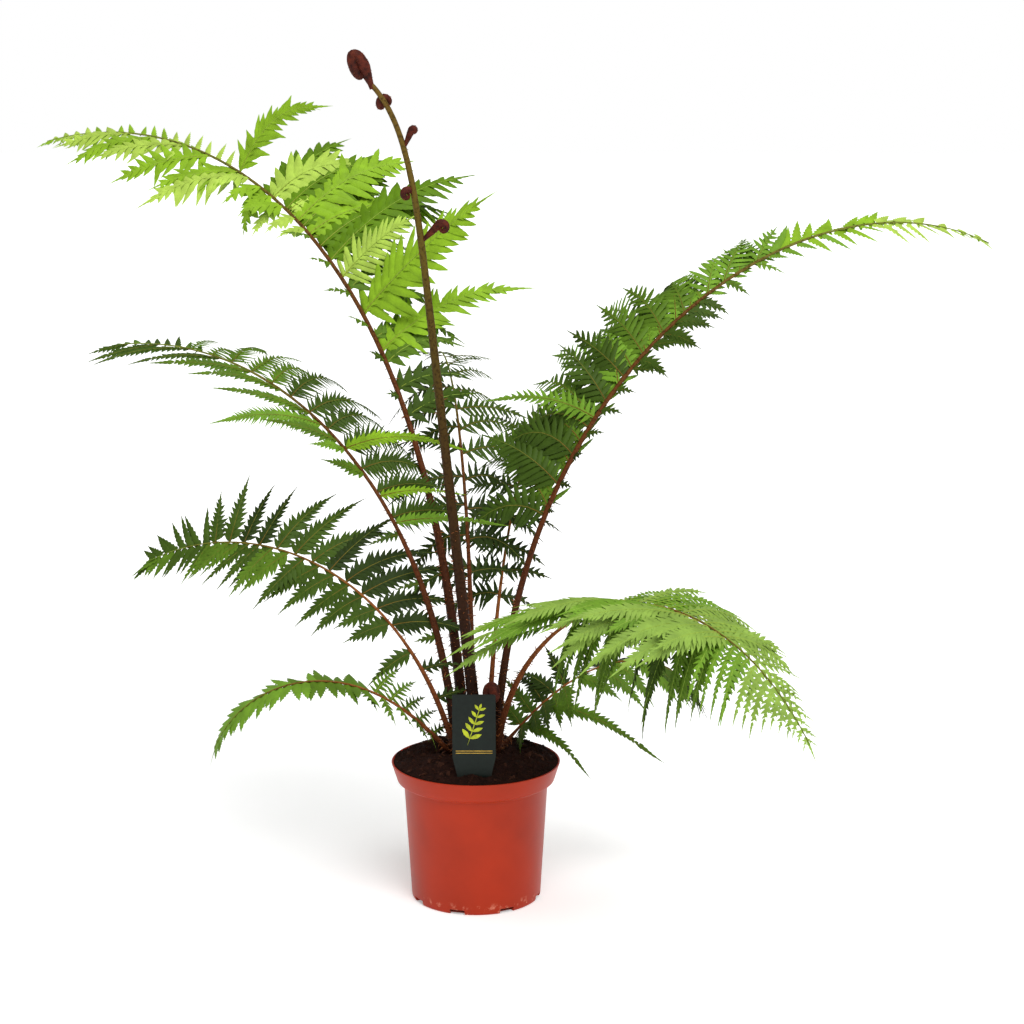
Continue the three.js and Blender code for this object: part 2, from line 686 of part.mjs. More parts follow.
// Each open frond has a stalk, a blade and the blade's tip. All stalks and rachises come before the
// pinnae, which are shortened or left out where they would touch another piece.
const open = FRONDS.map((frond) => {
  const group = groupAt(frond.seat, frond.heading);
  const line = rachisLine(frond);
  const gapShare = GAP / frond.length;
  const cut = lerp(frond.bare, 1, frond.splitAt);
  const cutRadius = lerp(frond.rachisRadius, RACHIS.tipRadius, (cut - frond.bare) / (1 - frond.bare));
  const foot = -STALK.foot / frond.length;
  const { stalkRadius, rachisRadius, bare } = frond;
  const steps = RACHIS.stepsPerPart;
  const stalkStations = stretch(frond, line, foot, bare, stalkRadius, rachisRadius, STALK.steps);
  const bladeStations = stretch(frond, line, bare + gapShare, cut, rachisRadius, cutRadius, steps);
  const tipStations = stretch(frond, line, cut + gapShare, 1, cutRadius, RACHIS.tipRadius, steps);
  const stalk = cutToGround(solidFrom(limb(stalkStations, STALK.sides)), group);
  const blade = solidFrom(limb(bladeStations, RACHIS.sides));
  const tip = solidFrom(limb(tipStations, RACHIS.sides));
  addMesh(group, `${frond.name}_stalk`, geometryFrom(stalk), FINISH.stalk);
  remember(`${frond.name}_stalk`, stalk, group);
  remember(`${frond.name}_blade`, blade, group);
  remember(`${frond.name}_tip`, tip, group);
  return { frond, group, line, parts: { blade, tip } };
});

for (const { frond, group, line, parts } of open) {
  for (const pinna of pinnaPlan(frond)) {
    if (pinna.length < PINNA.shortest) continue;
    const part = pinna.u < frond.splitAt ? "blade" : "tip";
    const owner = `${frond.name}_${part}`;
    for (const shorten of PINNA.shortenings) {
      const solid = pinnaBlade(frond, line, pinna, shorten);
      if (!isClear(owner, solid, group)) continue;
      parts[part] = parts[part].add(solid);
      remember(owner, solid, group);
      break;
    }
  }
  const finish = { color: frond.color, roughness: LEAF_ROUGHNESS };
  for (const [part, solid] of Object.entries(parts)) {
    addMesh(group, `${frond.name}_${part}`, geometryFrom(mainBody(solid)), finish);
  }
}

export default fern;
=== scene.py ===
import math

import bpy
import numpy as np
from mathutils import Matrix, Vector, noise


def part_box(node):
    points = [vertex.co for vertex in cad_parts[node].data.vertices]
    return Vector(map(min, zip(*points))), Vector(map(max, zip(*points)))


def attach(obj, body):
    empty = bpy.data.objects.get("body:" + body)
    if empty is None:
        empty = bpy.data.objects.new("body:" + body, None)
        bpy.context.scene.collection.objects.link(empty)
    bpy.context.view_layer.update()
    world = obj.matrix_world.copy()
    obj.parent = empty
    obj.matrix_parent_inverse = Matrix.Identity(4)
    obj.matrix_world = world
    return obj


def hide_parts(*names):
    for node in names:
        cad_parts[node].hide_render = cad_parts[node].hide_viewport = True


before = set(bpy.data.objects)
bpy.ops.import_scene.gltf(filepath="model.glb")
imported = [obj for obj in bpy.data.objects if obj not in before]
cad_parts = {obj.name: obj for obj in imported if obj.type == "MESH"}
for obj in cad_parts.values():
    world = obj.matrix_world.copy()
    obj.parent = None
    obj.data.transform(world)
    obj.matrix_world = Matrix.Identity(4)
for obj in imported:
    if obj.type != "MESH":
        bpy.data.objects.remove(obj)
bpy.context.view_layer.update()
up = np.array([0.0, 0.0, 1.0])
print("frame loaded with", len(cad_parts), "nodes")


# Node trees
class Wire:
    # a socket of a node tree: sums and products of wires add Math nodes
    def __init__(self, tree, socket=None):
        self.tree = tree
        self.socket = socket

    def node(self, kind, sockets=None, output=0, **settings):
        made = self.tree.nodes.new(kind)
        for key, value in settings.items():
            if key == "stops":
                fillRamp(made.color_ramp.elements, value)
            else:
                setattr(made, key, value)
        for key, value in (sockets or {}).items():
            for each in value if isinstance(value, list) else [value]:
                if isinstance(each, Wire):
                    self.tree.links.new(each.socket, made.inputs[key])
                else:
                    made.inputs[key].default_value = each
        return Wire(self.tree, made.outputs[output] if len(made.outputs) else None)

    def maths(self, operation, first, second):
        return self.node("ShaderNodeMath", {0: first, 1: second}, operation=operation)

    def __add__(self, other):
        return self.maths("ADD", self, other)

    def __sub__(self, other):
        return self.maths("SUBTRACT", self, other)

    def __mul__(self, other):
        return self.maths("MULTIPLY", self, other)

    def __radd__(self, other):
        return self.maths("ADD", other, self)

    def __rsub__(self, other):
        return self.maths("SUBTRACT", other, self)

    def __rmul__(self, other):
        return self.maths("MULTIPLY", other, self)


def fillRamp(elements, stops):
    while len(elements) < len(stops):
        elements.new(1.0)
    for element, (place, colour) in zip(elements, stops):
        element.position = place
        element.color = colour


def rgb(red, green, blue):
    # a colour given as it looks on screen, 0 to 255
    def linear(value):
        value /= 255
        return value / 12.92 if value <= 0.04045 else ((value + 0.055) / 1.055) ** 2.4

    return (linear(red), linear(green), linear(blue), 1.0)


def shade(colour, amount):
    return tuple(min(channel * amount, 1.0) for channel in colour[:3]) + (1.0,)


def shades(colour, stops):
    return [(place, shade(colour, amount)) for place, amount in stops]


# Finishes
def makeFinish(name, paint):
    material = bpy.data.materials.new(name)
    material.use_nodes = True
    material.node_tree.nodes.clear()
    start = Wire(material.node_tree)
    coat = start.node("ShaderNodeBsdfPrincipled", paint(start))
    start.node("ShaderNodeOutputMaterial", {"Surface": coat})
    material.diffuse_color = (0.4, 0.4, 0.4, 1.0)
    return material


def surface(tone, roughness, gloss, relief):
    return {"Base Color": tone, "Roughness": roughness, "Specular IOR Level": gloss, "Normal": relief}


def objectSpot(start):
    return start.node("ShaderNodeTexCoord", output="Object")


def grain(start, scale, detail, roughness=0.55):
    sockets = {"Vector": objectSpot(start), "Scale": scale, "Detail": detail, "Roughness": roughness}
    return start.node("ShaderNodeTexNoise", sockets)


def ramp(start, value, stops):
    return start.node("ShaderNodeValToRGB", {"Fac": value}, stops=stops)


def band(start, value, low, high):
    # 0 under low, 1 over high
    return start.node("ShaderNodeMapRange", {"Value": value, "From Min": low, "From Max": high}, clamp=True)


def mix(start, factor, first, second):
    return start.node("ShaderNodeMix", {0: factor, 6: first, 7: second}, 2, data_type="RGBA")


def bump(start, height, strength, distance):
    return start.node("ShaderNodeBump", {"Height": height, "Strength": strength, "Distance": distance})


# the greens differ partly as the fronds do, young pinnae lime and older ones deep, and partly as painted
# light: pale tints stand for lit upper faces, deep and dark ones for pinnae in shade
leafTints = {
    "pale": rgb(158, 186, 74),
    "lime": rgb(126, 164, 34),
    "soft": rgb(128, 158, 66),
    "fresh": rgb(102, 140, 38),
    "rich": rgb(86, 120, 14),
    "mid": rgb(80, 110, 26),
    "deep": rgb(56, 78, 18),
    "dark": rgb(38, 54, 13),
}
# in every look a grain is scale, detail and roughness, and relief is strength and distance
# sheen and its shade are a painted sheen: how much brighter green is mixed in, and how much brighter it is
leafLook = dict(blotch=(45.0, 3.0), fine=(420.0, 2.0), tones=((0.3, 0.72), (0.55, 1.0), (0.75, 1.28)),
                paintedSheen=0.25, paintedSheenShade=1.5, rough=(0.46, 0.2), gloss=0.12, relief=(0.25, 0.0006))


def leafFinish(tint):
    look = leafLook
    colour = leafTints[tint]

    def paint(start):
        blotch = grain(start, *look["blotch"])
        fine = grain(start, *look["fine"])
        tone = ramp(start, blotch, shades(colour, look["tones"]))
        # painted sheen: a brighter shade of the leaf green mixed in fine specks, standing in for highlights
        tone = mix(start, look["paintedSheen"] * fine, tone, shade(colour, look["paintedSheenShade"]))
        rough = look["rough"][0] + look["rough"][1] * blotch
        return surface(tone, rough, look["gloss"], bump(start, fine, *look["relief"]))

    return makeFinish("leaf_" + tint, paint)


# name, colour of the freckles, and the tones along the stalk from foot to tip
stalkTones = {
    "stalk": ("stalk_brown", (40, 18, 8), (
        (0.0, 26, 11, 6), (0.1, 62, 30, 12), (0.3, 98, 50, 20),
        (0.55, 104, 66, 24), (0.7, 116, 112, 42), (1.0, 134, 156, 58))),
    "tanStalk": ("stalk_tan", (70, 32, 14), (
        (0.0, 56, 24, 10), (0.12, 118, 62, 26), (0.4, 142, 86, 38), (0.7, 112, 92, 34), (1.0, 114, 144, 52))),
    "oliveStalk": ("stalk_olive", (36, 20, 8), (
        (0.0, 30, 12, 7), (0.18, 50, 26, 11), (0.4, 66, 46, 15), (0.75, 96, 80, 27), (1.0, 108, 84, 32))),
    "rib": ("rib_tan", (96, 78, 28), ((0.0, 116, 76, 30), (0.35, 118, 112, 42), (1.0, 112, 134, 48))),
    "paleRib": ("rib_pale", (132, 152, 52), ((0.0, 148, 150, 58), (0.3, 146, 172, 66), (1.0, 154, 184, 78))),
}
stalkLook = dict(freckles=(260.0, 5.0), freckleBand=(0.5, 0.62), freckled=0.55, streaks=(60.0, 6.0, 0.7),
                 streaked=0.35, streakShade=0.6, rough=(0.5, 0.25), gloss=0.1, relief=(0.4, 0.0008))


def stalkFinish(name, freckle, tones):
    look = stalkLook
    freckle = rgb(*freckle)

    def paint(start):
        rise = start.node("ShaderNodeAttribute", output="Fac", attribute_name="rise")
        tone = ramp(start, rise, [(place, rgb(*colour)) for place, *colour in tones])
        freckles = band(start, grain(start, *look["freckles"]), *look["freckleBand"])
        streaks = grain(start, *look["streaks"])
        tone = mix(start, look["freckled"] * freckles, tone, freckle)
        tone = mix(start, look["streaked"] * streaks, tone, shade(freckle, look["streakShade"]))
        rough = look["rough"][0] + look["rough"][1] * freckles
        return surface(tone, rough, look["gloss"], bump(start, freckles + streaks, *look["relief"]))

    return makeFinish(name, paint)


scaleLook = dict(places=(0.32, 0.5, 0.68), patch=(1.0, 5.0, 0.6), fine=(6.0, 3.0), roughBy="fine",
                 rough=(0.5, 0.3), gloss=0.15, relief=(0.5, 0.001))
soilLook = dict(places=(0.3, 0.62, 0.8), patch=(130.0, 8.0, 0.7), fine=(500.0, 6.0, 0.7), roughBy="patch",
                rough=(0.8, 0.15), gloss=0.08, relief=(0.8, 0.002))
cardLook = dict(places=(0.35, 0.65), patch=(160.0, 5.0), fine=(160.0, 5.0), roughBy="fine",
                rough=(0.4, 0.15), gloss=0.2, relief=(0.1, 0.0004))


def mottled(name, tones, look, size=1.0):
    # patches of two or three tones over a fine relief
    def paint(start):
        grains = {}
        for label in ("patch", "fine"):
            scale, *ways = look[label]
            grains[label] = grain(start, size * scale, *ways)
        tone = ramp(start, grains["patch"], list(zip(look["places"], tones)))
        rough = look["rough"][0] + look["rough"][1] * grains[look["roughBy"]]
        return surface(tone, rough, look["gloss"], bump(start, grains["fine"], *look["relief"]))

    return makeFinish(name, paint)


def threeTones(dark, bright):
    dark, bright = rgb(*dark), rgb(*bright)
    return dark, tuple((a + b) / 2 for a, b in zip(dark, bright)), bright


def cardTones(*colour, dark=0.8, bright=1.25):
    return shade(rgb(*colour), dark), shade(rgb(*colour), bright)


potLook = dict(clay=(164, 42, 8), scuffed=(226, 150, 122), cloud=(14.0, 4.0), fine=(900.0, 2.0),
               lowEdge=(0.004, 0.016), scuff=(75.0, 6.0, 0.7), scuffBand=(0.56, 0.66), scuffRelief=2,
               tones=((0.3, 0.86), (0.5, 1.0), (0.72, 1.12)), rough=(0.33, 0.12, 0.3), gloss=0.22,
               relief=(0.12, 0.0005))


def potFinish():
    look = potLook

    def paint(start):
        cloud = grain(start, *look["cloud"])
        fine = grain(start, *look["fine"])
        height = start.node("ShaderNodeSeparateXYZ", {"Vector": objectSpot(start)}, "Z")
        lowEdge = 1 - band(start, height, *look["lowEdge"])
        scuff = band(start, grain(start, *look["scuff"]), *look["scuffBand"]) * lowEdge
        tone = ramp(start, cloud, shades(rgb(*look["clay"]), look["tones"]))
        tone = mix(start, scuff, tone, rgb(*look["scuffed"]))
        base, clouded, worn = look["rough"]
        relief = bump(start, fine + look["scuffRelief"] * scuff, *look["relief"])
        return surface(tone, base + clouded * cloud + worn * scuff, look["gloss"], relief)

    return makeFinish("pot_plastic", paint)


finishes = {tint: leafFinish(tint) for tint in leafTints}
for label, tones in stalkTones.items():
    finishes[label] = stalkFinish(*tones)
for label, name, dark, bright, look, size in (
    ("scale", "coil_scales", (28, 8, 6), (98, 38, 22), scaleLook, 110.0),
    ("prickle", "stalk_prickles", (52, 22, 12), (150, 88, 44), scaleLook, 90.0),
    ("fibre", "crown_fibre", (28, 14, 9), (104, 62, 38), scaleLook, 160.0),
    ("soil", "potting_soil", (16, 7, 5), (58, 31, 23), soilLook, 1.0),
    ("crumb", "soil_crumbs", (22, 10, 7), (72, 42, 31), soilLook, 1.0),
    ("chip", "soil_chips", (36, 19, 13), (92, 56, 40), soilLook, 1.0),
):
    finishes[label] = mottled(name, threeTones(dark, bright), look, size)
finishes["pot"] = potFinish()
finishes["card"] = mottled("tag_card", cardTones(16, 25, 20), cardLook)
finishes["gold"] = mottled("tag_gold", cardTones(196, 158, 62), dict(cardLook, rough=(0.35, 0.15)))
finishes["sprig"] = mottled("tag_sprig", cardTones(176, 186, 40), cardLook)
print("finishes made:", len(finishes))


# Meshes and pieces
def plainMesh(name, points, faces=(), edges=()):
    mesh = bpy.data.meshes.new(name)
    mesh.from_pydata([tuple(point) for point in points], edges, faces)
    mesh.update()
    return mesh


def addAttribute(mesh, name, kind, values):
    layer = mesh.attributes.new(name, kind, "POINT")
    field = "vector" if kind == "FLOAT_VECTOR" else "value"
    number = np.int32 if kind == "INT" else np.float32
    layer.data.foreach_set(field, np.asarray(values, dtype=number).ravel())


def hold(name, mesh):
    holder = bpy.data.objects.new(name, mesh)
    bpy.context.scene.collection.objects.link(holder)
    return holder


def newTree(name, inputs):
    tree = bpy.data.node_groups.new(name, "GeometryNodeTree")
    tree.is_modifier = True
    tree.interface.new_socket("Geometry", in_out="INPUT", socket_type="NodeSocketGeometry")
    for label, kind in inputs.items():
        tree.interface.new_socket(label, in_out="INPUT", socket_type="NodeSocket" + kind)
    tree.interface.new_socket("Geometry", in_out="OUTPUT", socket_type="NodeSocketGeometry")
    start = Wire(tree)
    source = start.node("NodeGroupInput").socket.node
    return tree, start, {socket.name: Wire(tree, socket) for socket in source.outputs if socket.name}


def coated(start, geometry, finish):
    geometry = start.node("GeometryNodeRealizeInstances", {"Geometry": geometry})
    return start.node("GeometryNodeSetMaterial", {"Geometry": geometry, "Material": finish})


def endTree(start, geometry):
    start.node("NodeGroupOutput", {"Geometry": geometry})


def named(start, name, kind="FLOAT"):
    return start.node("GeometryNodeInputNamedAttribute", {"Name": name}, data_type=kind)


def sameNumber(start, value, number):
    return start.node("FunctionNodeCompare", {2: value, 3: number}, data_type="INT", operation="EQUAL")


def grow(name, mesh, steps):
    # runs trees on a mesh and keeps the result as a plain mesh
    holder = hold(name + "_seed", mesh)
    for tree, values in steps:
        modifier = holder.modifiers.new(tree.name, "NODES")
        modifier.node_group = tree
        for item in tree.interface.items_tree:
            if item.in_out == "INPUT" and item.name in values:
                modifier[item.identifier] = values[item.name]
    graph = bpy.context.evaluated_depsgraph_get()
    grown = bpy.data.meshes.new_from_object(holder.evaluated_get(graph), depsgraph=graph)
    grown.name = name
    holder.modifiers.clear()
    bpy.data.objects.remove(holder)
    return grown


def piece(name, mesh, slot, nodes):
    made = hold(name, mesh)
    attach(made, "root")
    if nodes:
        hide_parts(*nodes)


# a tube along each strand of edges, as thick as the strand says, with a bark relief
def makeStemTree():
    inputs = {"Sides": "Int", "Step": "Float", "Relief": "Float", "Relief Scale": "Float"}
    tree, start, given = newTree("stemTube", dict(inputs, Finish="Material"))
    curve = start.node("GeometryNodeMeshToCurve", {"Mesh": given["Geometry"]})
    curve = start.node("GeometryNodeResampleCurve", {"Curve": curve, "Length": given["Step"]}, mode="LENGTH")
    ring = start.node("GeometryNodeCurvePrimitiveCircle", {"Resolution": given["Sides"], "Radius": 1.0})
    sockets = {"Curve": curve, "Profile Curve": ring, "Scale": named(start, "thick"), "Fill Caps": True}
    tube = start.node("GeometryNodeCurveToMesh", sockets)
    lump = start.node("ShaderNodeTexNoise", {"Scale": given["Relief Scale"], "Detail": 3.0})
    push = (lump - 0.5) * given["Relief"]  # the noise swings about a half
    sockets = {0: start.node("GeometryNodeInputNormal"), "Scale": push}
    offset = start.node("ShaderNodeVectorMath", sockets, operation="SCALE")
    tube = start.node("GeometryNodeSetPosition", {"Geometry": tube, "Offset": offset})
    tube = start.node("GeometryNodeSetShadeSmooth", {"Geometry": tube})
    endTree(start, coated(start, tube, given["Finish"]))
    return tree


# small things scattered over a surface: prickles, scales, fibres, crumbs
def makeScatterTree():
    inputs = {"Shape": "Object", "Density": "Float", "Smallest": "Float", "Largest": "Float",
              "Lean": "Float", "Seed": "Int", "Finish": "Material"}
    tree, start, given = newTree("scatter", inputs)
    where = named(start, "where") * given["Density"]
    sockets = {"Mesh": given["Geometry"], "Density": where, "Seed": given["Seed"]}
    points = start.node("GeometryNodeDistributePointsOnFaces", sockets)
    turned = Wire(tree, points.socket.node.outputs["Rotation"])
    sockets = {0: (-1.0, -1.0, -math.pi), 1: (1.0, 1.0, math.pi), "Seed": given["Seed"]}
    swing = start.node("FunctionNodeRandomValue", sockets, data_type="FLOAT_VECTOR")
    spread = start.node("ShaderNodeCombineXYZ", {"X": given["Lean"], "Y": given["Lean"], "Z": 1.0})
    swing = start.node("ShaderNodeVectorMath", {0: swing, 1: spread}, operation="MULTIPLY")
    swing = start.node("FunctionNodeEulerToRotation", {"Euler": swing})
    sockets = {"Rotation": turned, "Rotate By": swing}
    turned = start.node("FunctionNodeRotateRotation", sockets, rotation_space="LOCAL")
    sockets = {2: given["Smallest"], 3: given["Largest"], "Seed": given["Seed"] + 1}
    size = start.node("FunctionNodeRandomValue", sockets, 1, data_type="FLOAT")
    shape = start.node("GeometryNodeObjectInfo", {"Object": given["Shape"]}, "Geometry")
    sockets = {"Points": points, "Instance": shape, "Rotation": turned, "Scale": size}
    bits = coated(start, start.node("GeometryNodeInstanceOnPoints", sockets), given["Finish"])
    endTree(start, start.node("GeometryNodeJoinGeometry", {"Geometry": [given["Geometry"], bits]}))
    return tree


# leaflets on their anchors, each turned, sized and tinted as its anchor says
def makeLeafTree(kindCount, tintCount):
    labels = [f"{side} {k}" for k in range(kindCount) for side in ("Right", "Left")] + ["Tail"]
    inputs = {label: "Object" for label in labels}
    inputs.update({f"Tint {k}": "Material" for k in range(tintCount)})
    tree, start, given = newTree("sprays", inputs)
    sockets = {0: named(start, "along", "FLOAT_VECTOR"), 1: named(start, "facing", "FLOAT_VECTOR")}
    turned = start.node("FunctionNodeAxesToRotation", sockets, primary_axis="X", secondary_axis="Z")
    kind = named(start, "kind", "INT")
    sets = []
    for k, label in enumerate(labels):
        shape = start.node("GeometryNodeObjectInfo", {"Object": given[label]}, "Geometry")
        sockets = {"Points": given["Geometry"], "Selection": sameNumber(start, kind, k), "Instance": shape}
        sockets.update({"Rotation": turned, "Scale": named(start, "size", "FLOAT_VECTOR")})
        sets.append(start.node("GeometryNodeInstanceOnPoints", sockets))
    leaves = start.node("GeometryNodeJoinGeometry", {"Geometry": sets})
    leaves = start.node("GeometryNodeRealizeInstances", {"Geometry": leaves})
    leaves = start.node("GeometryNodeSetShadeSmooth", {"Geometry": leaves})
    tint = named(start, "tint", "INT")
    for k in range(tintCount):
        sockets = {"Geometry": leaves, "Selection": sameNumber(start, tint, k)}
        sockets["Material"] = given[f"Tint {k}"]
        leaves = start.node("GeometryNodeSetMaterial", sockets)
    endTree(start, leaves)
    return tree


mostKinds = 4  # leaflet kinds and tints on one frond
mostTints = 6
stemTree = makeStemTree()
scatterTree = makeScatterTree()
leafTree = makeLeafTree(mostKinds, mostTints)


def tubeStep(rule, finish):
    values = {label: rule[label.lower()] for label in ("Sides", "Step", "Relief")}
    values.update({"Relief Scale": rule["reliefScale"], "Finish": finishes[finish]})
    return stemTree, values


def scatterStep(shape, rule, seed, finish):
    values = {label: rule[label.lower()] for label in ("Density", "Smallest", "Largest", "Lean")}
    values.update({"Shape": shape, "Seed": seed, "Finish": finishes[finish]})
    return scatterTree, values


# Leaflet shapes, one unit long along X and one unit wide, seen from above along -Z. In a spray they stand
# spacing apart, width times that wide, and narrow says how late the spray tapers. Their angle strays and
# their length varies by so much. A whole leaflet stands alone in place of a spray
leafShapes = {
    "lobe": dict(
        outline=((0, 1), (0.35, 0.96), (0.6, 0.72), (0.85, 0.42), (1, 0)), teeth=6, depth=0.1, sickle=0.24,
        droop=0.14, fold=0.12, spacing=0.0125, width=1.3, tilt=6, narrow=2.6, stray=12, vary=0.45),
    "finger": dict(
        outline=((0, 1), (0.35, 1), (0.6, 0.66), (0.85, 0.3), (1, 0)), teeth=4, depth=0.12, sickle=0.34,
        droop=0.08, fold=0.08, spacing=0.0115, width=1.15, tilt=8, narrow=1.8, stray=16, vary=0.5),
    "slat": dict(
        outline=((0, 0.9), (0.12, 1), (0.6, 0.84), (0.85, 0.5), (1, 0)), teeth=8, depth=0.14, sickle=0.26,
        droop=0.16, fold=0.1, spacing=0.0078, width=1.04, tilt=8, narrow=2, stray=7, vary=0.3),
    "comb": dict(
        outline=((0, 1), (0.35, 0.92), (0.58, 0.46), (0.8, 0.24), (1, 0)), teeth=4, depth=0.08, sickle=0.3,
        droop=0.16, fold=0.1, spacing=0.0046, width=1.2, tilt=10, narrow=1.7, stray=6, vary=0.3),
    "tooth": dict(
        outline=((0, 1), (0.45, 0.94), (0.66, 0.56), (0.88, 0.26), (1, 0)), teeth=5, depth=0.1, sickle=0.3,
        droop=0.06, fold=0.08, spacing=0.0068, width=1.3, tilt=4, narrow=1.6, stray=7, vary=0.3),
    "lace": dict(
        outline=((0, 0.8), (0.15, 1), (0.5, 0.74), (0.8, 0.36), (1, 0)), teeth=4, depth=0.16, sickle=0.3,
        droop=0.1, fold=0.08, spacing=0.0074, width=0.94, tilt=5, narrow=1.6, stray=10, vary=0.35),
    "plume": dict(
        outline=((0, 0.8), (0.2, 1), (0.55, 0.8), (0.8, 0.42), (1, 0)), teeth=4, depth=0.2, sickle=0.3,
        droop=0.12, fold=0.08, spacing=0.0066, width=1.05, tilt=5, narrow=3, stray=8, vary=0.3),
    "blade": dict(
        outline=((0, 0.8), (0.12, 1), (0.45, 0.8), (0.75, 0.42), (1, 0)), teeth=7, depth=0.3, sickle=0.16,
        droop=0.14, fold=0.16, whole=True),
    "tail": dict(
        outline=((0, 0.8), (0.1, 1), (0.5, 0.5), (1, 0)), teeth=6, depth=0.3, sickle=0.0,
        droop=0.1, fold=0.05),
}
toothPeak = 0.7  # where along each tooth it is widest


def halfWidth(leaf, x):
    return 0.5 * float(np.interp(x, *zip(*leaf["outline"])))


def leafMesh(name, leaf, hand):
    stations = [(0.0, halfWidth(leaf, 0.0))]
    for k in range(leaf["teeth"]):
        outer = (k + toothPeak) / leaf["teeth"]
        inner = (k + 1) / leaf["teeth"]
        stations.append((outer, halfWidth(leaf, outer)))
        stations.append((inner, halfWidth(leaf, inner) * (1 - leaf["depth"])))
    points = []
    for x, half in stations:
        middle = hand * leaf["sickle"] * x * x
        low = -leaf["droop"] * x * x
        points.append((x, middle, low))
        points.append((x, middle + half, low - leaf["fold"] * half))
        points.append((x, middle - half, low - leaf["fold"] * half))
    faces = []
    for k in range(len(stations) - 2):
        m = 3 * k
        faces.append((m, m + 3, m + 4, m + 1))
        faces.append((m, m + 2, m + 5, m + 3))
    m = 3 * (len(stations) - 2)
    faces.append((m, m + 3, m + 1))
    faces.append((m, m + 2, m + 3))
    return plainMesh(name, points[:m + 4], faces)


shapeStore = bpy.data.collections.new("shapes")  # never linked, so nothing in it shows


def storeShape(name, mesh):
    shape = bpy.data.objects.new(name, mesh)
    shapeStore.objects.link(shape)
    return shape


leafObjects = {}
for kind, leaf in leafShapes.items():
    for label, hand in (("right", -1), ("left", 1)):
        name = f"{kind}_{label}"
        leafObjects[name] = storeShape(name, leafMesh(name, leaf, hand))


# The fronds: metres and degrees, the same rule as the solids with more and finer pinnae
frondRule = dict(walk=80, pinnaSteps=12, firstAt=0.25, stagger=0.15, sagLength=0.09, rachisTip=0.0006,
                 foot=0.026, angleSpread=8, liftSpread=0.08, sagSpread=0.3, lengthSpread=0.16, twistSpread=22,
                 tintSpread=0.35)
usualFrond = dict(sweep=0, roll=(0, 0), crowding=0.95, stalk="tanStalk", rib="rib")


# a row's tints, from its start to its end, are partly painted light: darker where its pinnae lie in shade,
# paler where they catch the light
def row(hand, span, count, pinna, angle, lift, sag, leaf, leafLength, tints, twist=0):
    # a row of pinnae on one hand of a frond (1 right, -1 left), between two shares of its blade. Length,
    # angle, lift and sag are one value for the whole row or a few from its start to its end
    return dict(hand=hand, span=span, count=count, pinna=pinna, angle=angle, lift=lift, sag=sag,
                leaf=leaf, leafLength=leafLength, tints=tints.split(), twist=twist)


fronds = {}


def addFrond(name, settings, *rows):
    fronds[name] = dict(usualFrond, **settings, rows=rows)


addFrond(
    "frond_high_left",
    dict(seat=(140, 0.022, 0.235), heading=120.4, sweep=31.7, rise=78.8, fall=-12.6, bend=1.41, length=1.18,
         bare=0.31, stalkRadius=0.007, rachisRadius=0.0034, roll=(8, 20), crowding=1, wild=1.2,
         stalk="stalk", rib="paleRib", slot="frond_bright", seed=11),
    row(1, (0, 0.28), 6, (0.09, 0.12, 0.13), (64, 72), (0.9, 0.7), (1.2, 1.1),
        "finger", 0.032, "deep mid mid"),
    row(1, (0.12, 0.15), 1, 0.23, 58, 1, 0.7, "finger", 0.044, "lime"),
    row(1, (0.19, 0.22), 1, 0.23, 62, 2, 0.3, "lobe", 0.06, "lime"),
    row(1, (0.26, 0.3), 1, 0.15, 74, 1.4, 0.8, "slat", 0.056, "pale", 20),
    row(1, (0.3, 0.46), 5, (0.23, 0.23, 0.21, 0.19), (72, 90), 0.8, 0.5,
        "lobe", 0.056, "rich lime lime rich"),
    row(1, (0.38, 0.5), 3, (0.15, 0.17, 0.15), (70, 84), (0.7, 0.6), 0.6, "lobe", 0.056, "rich deep rich"),
    row(1, (0.35, 0.46), 2, (0.19, 0.17), (96, 100), 0.3, 0.5, "lobe", 0.05, "rich lime"),
    row(1, (0.42, 0.5), 2, (0.19, 0.15), (88, 92), (0.9, 1.1), 1.1, "lobe", 0.05, "pale"),
    row(-1, (0.37, 0.55), 6, (0.05, 0.075, 0.06), (85, 80), 0.35, 1.1, "finger", 0.034, "pale lime pale"),
    row(1, (0.55, 0.57), 1, 0.17, 98, 2.8, 2, "finger", 0.036, "lime"),
    row(1, (0.58, 1), 17, (0.034, 0.032, 0.026, 0.014), (56, 36), (0.5, 0.2), (0.3, 0.2),
        "blade", 0.011, "pale lime pale", 30),
    row(-1, (0.02, 0.4), 6, (0.03, 0.05, 0.04), (75, 70), (0.8, 0.4), 0.8, "finger", 0.012, "deep mid mid"),
    row(-1, (0.44, 0.47), 1, 0.065, 100, 0, 1.5, "finger", 0.028, "pale"),
    row(-1, (0.5, 0.52), 1, 0.085, 120, -0.4, 2.2, "lobe", 0.03, "lime"),
    row(-1, (0.53, 0.57), 2, (0.17, 0.12), (60, 52), 0.1, (0.6, 0.35), "finger", 0.046, "pale lime", 35),
    row(-1, (0.6, 0.84), 4, (0.14, 0.15, 0.135, 0.11), (46, 24), 0.05, (0.4, 0.3),
        "finger", 0.044, "lime pale lime pale", 35),
    row(-1, (0.84, 1), 5, (0.08, 0.05, 0.02), (30, 25), 0, (0.25, 0.2), "finger", 0.024, "pale lime", 35),
)
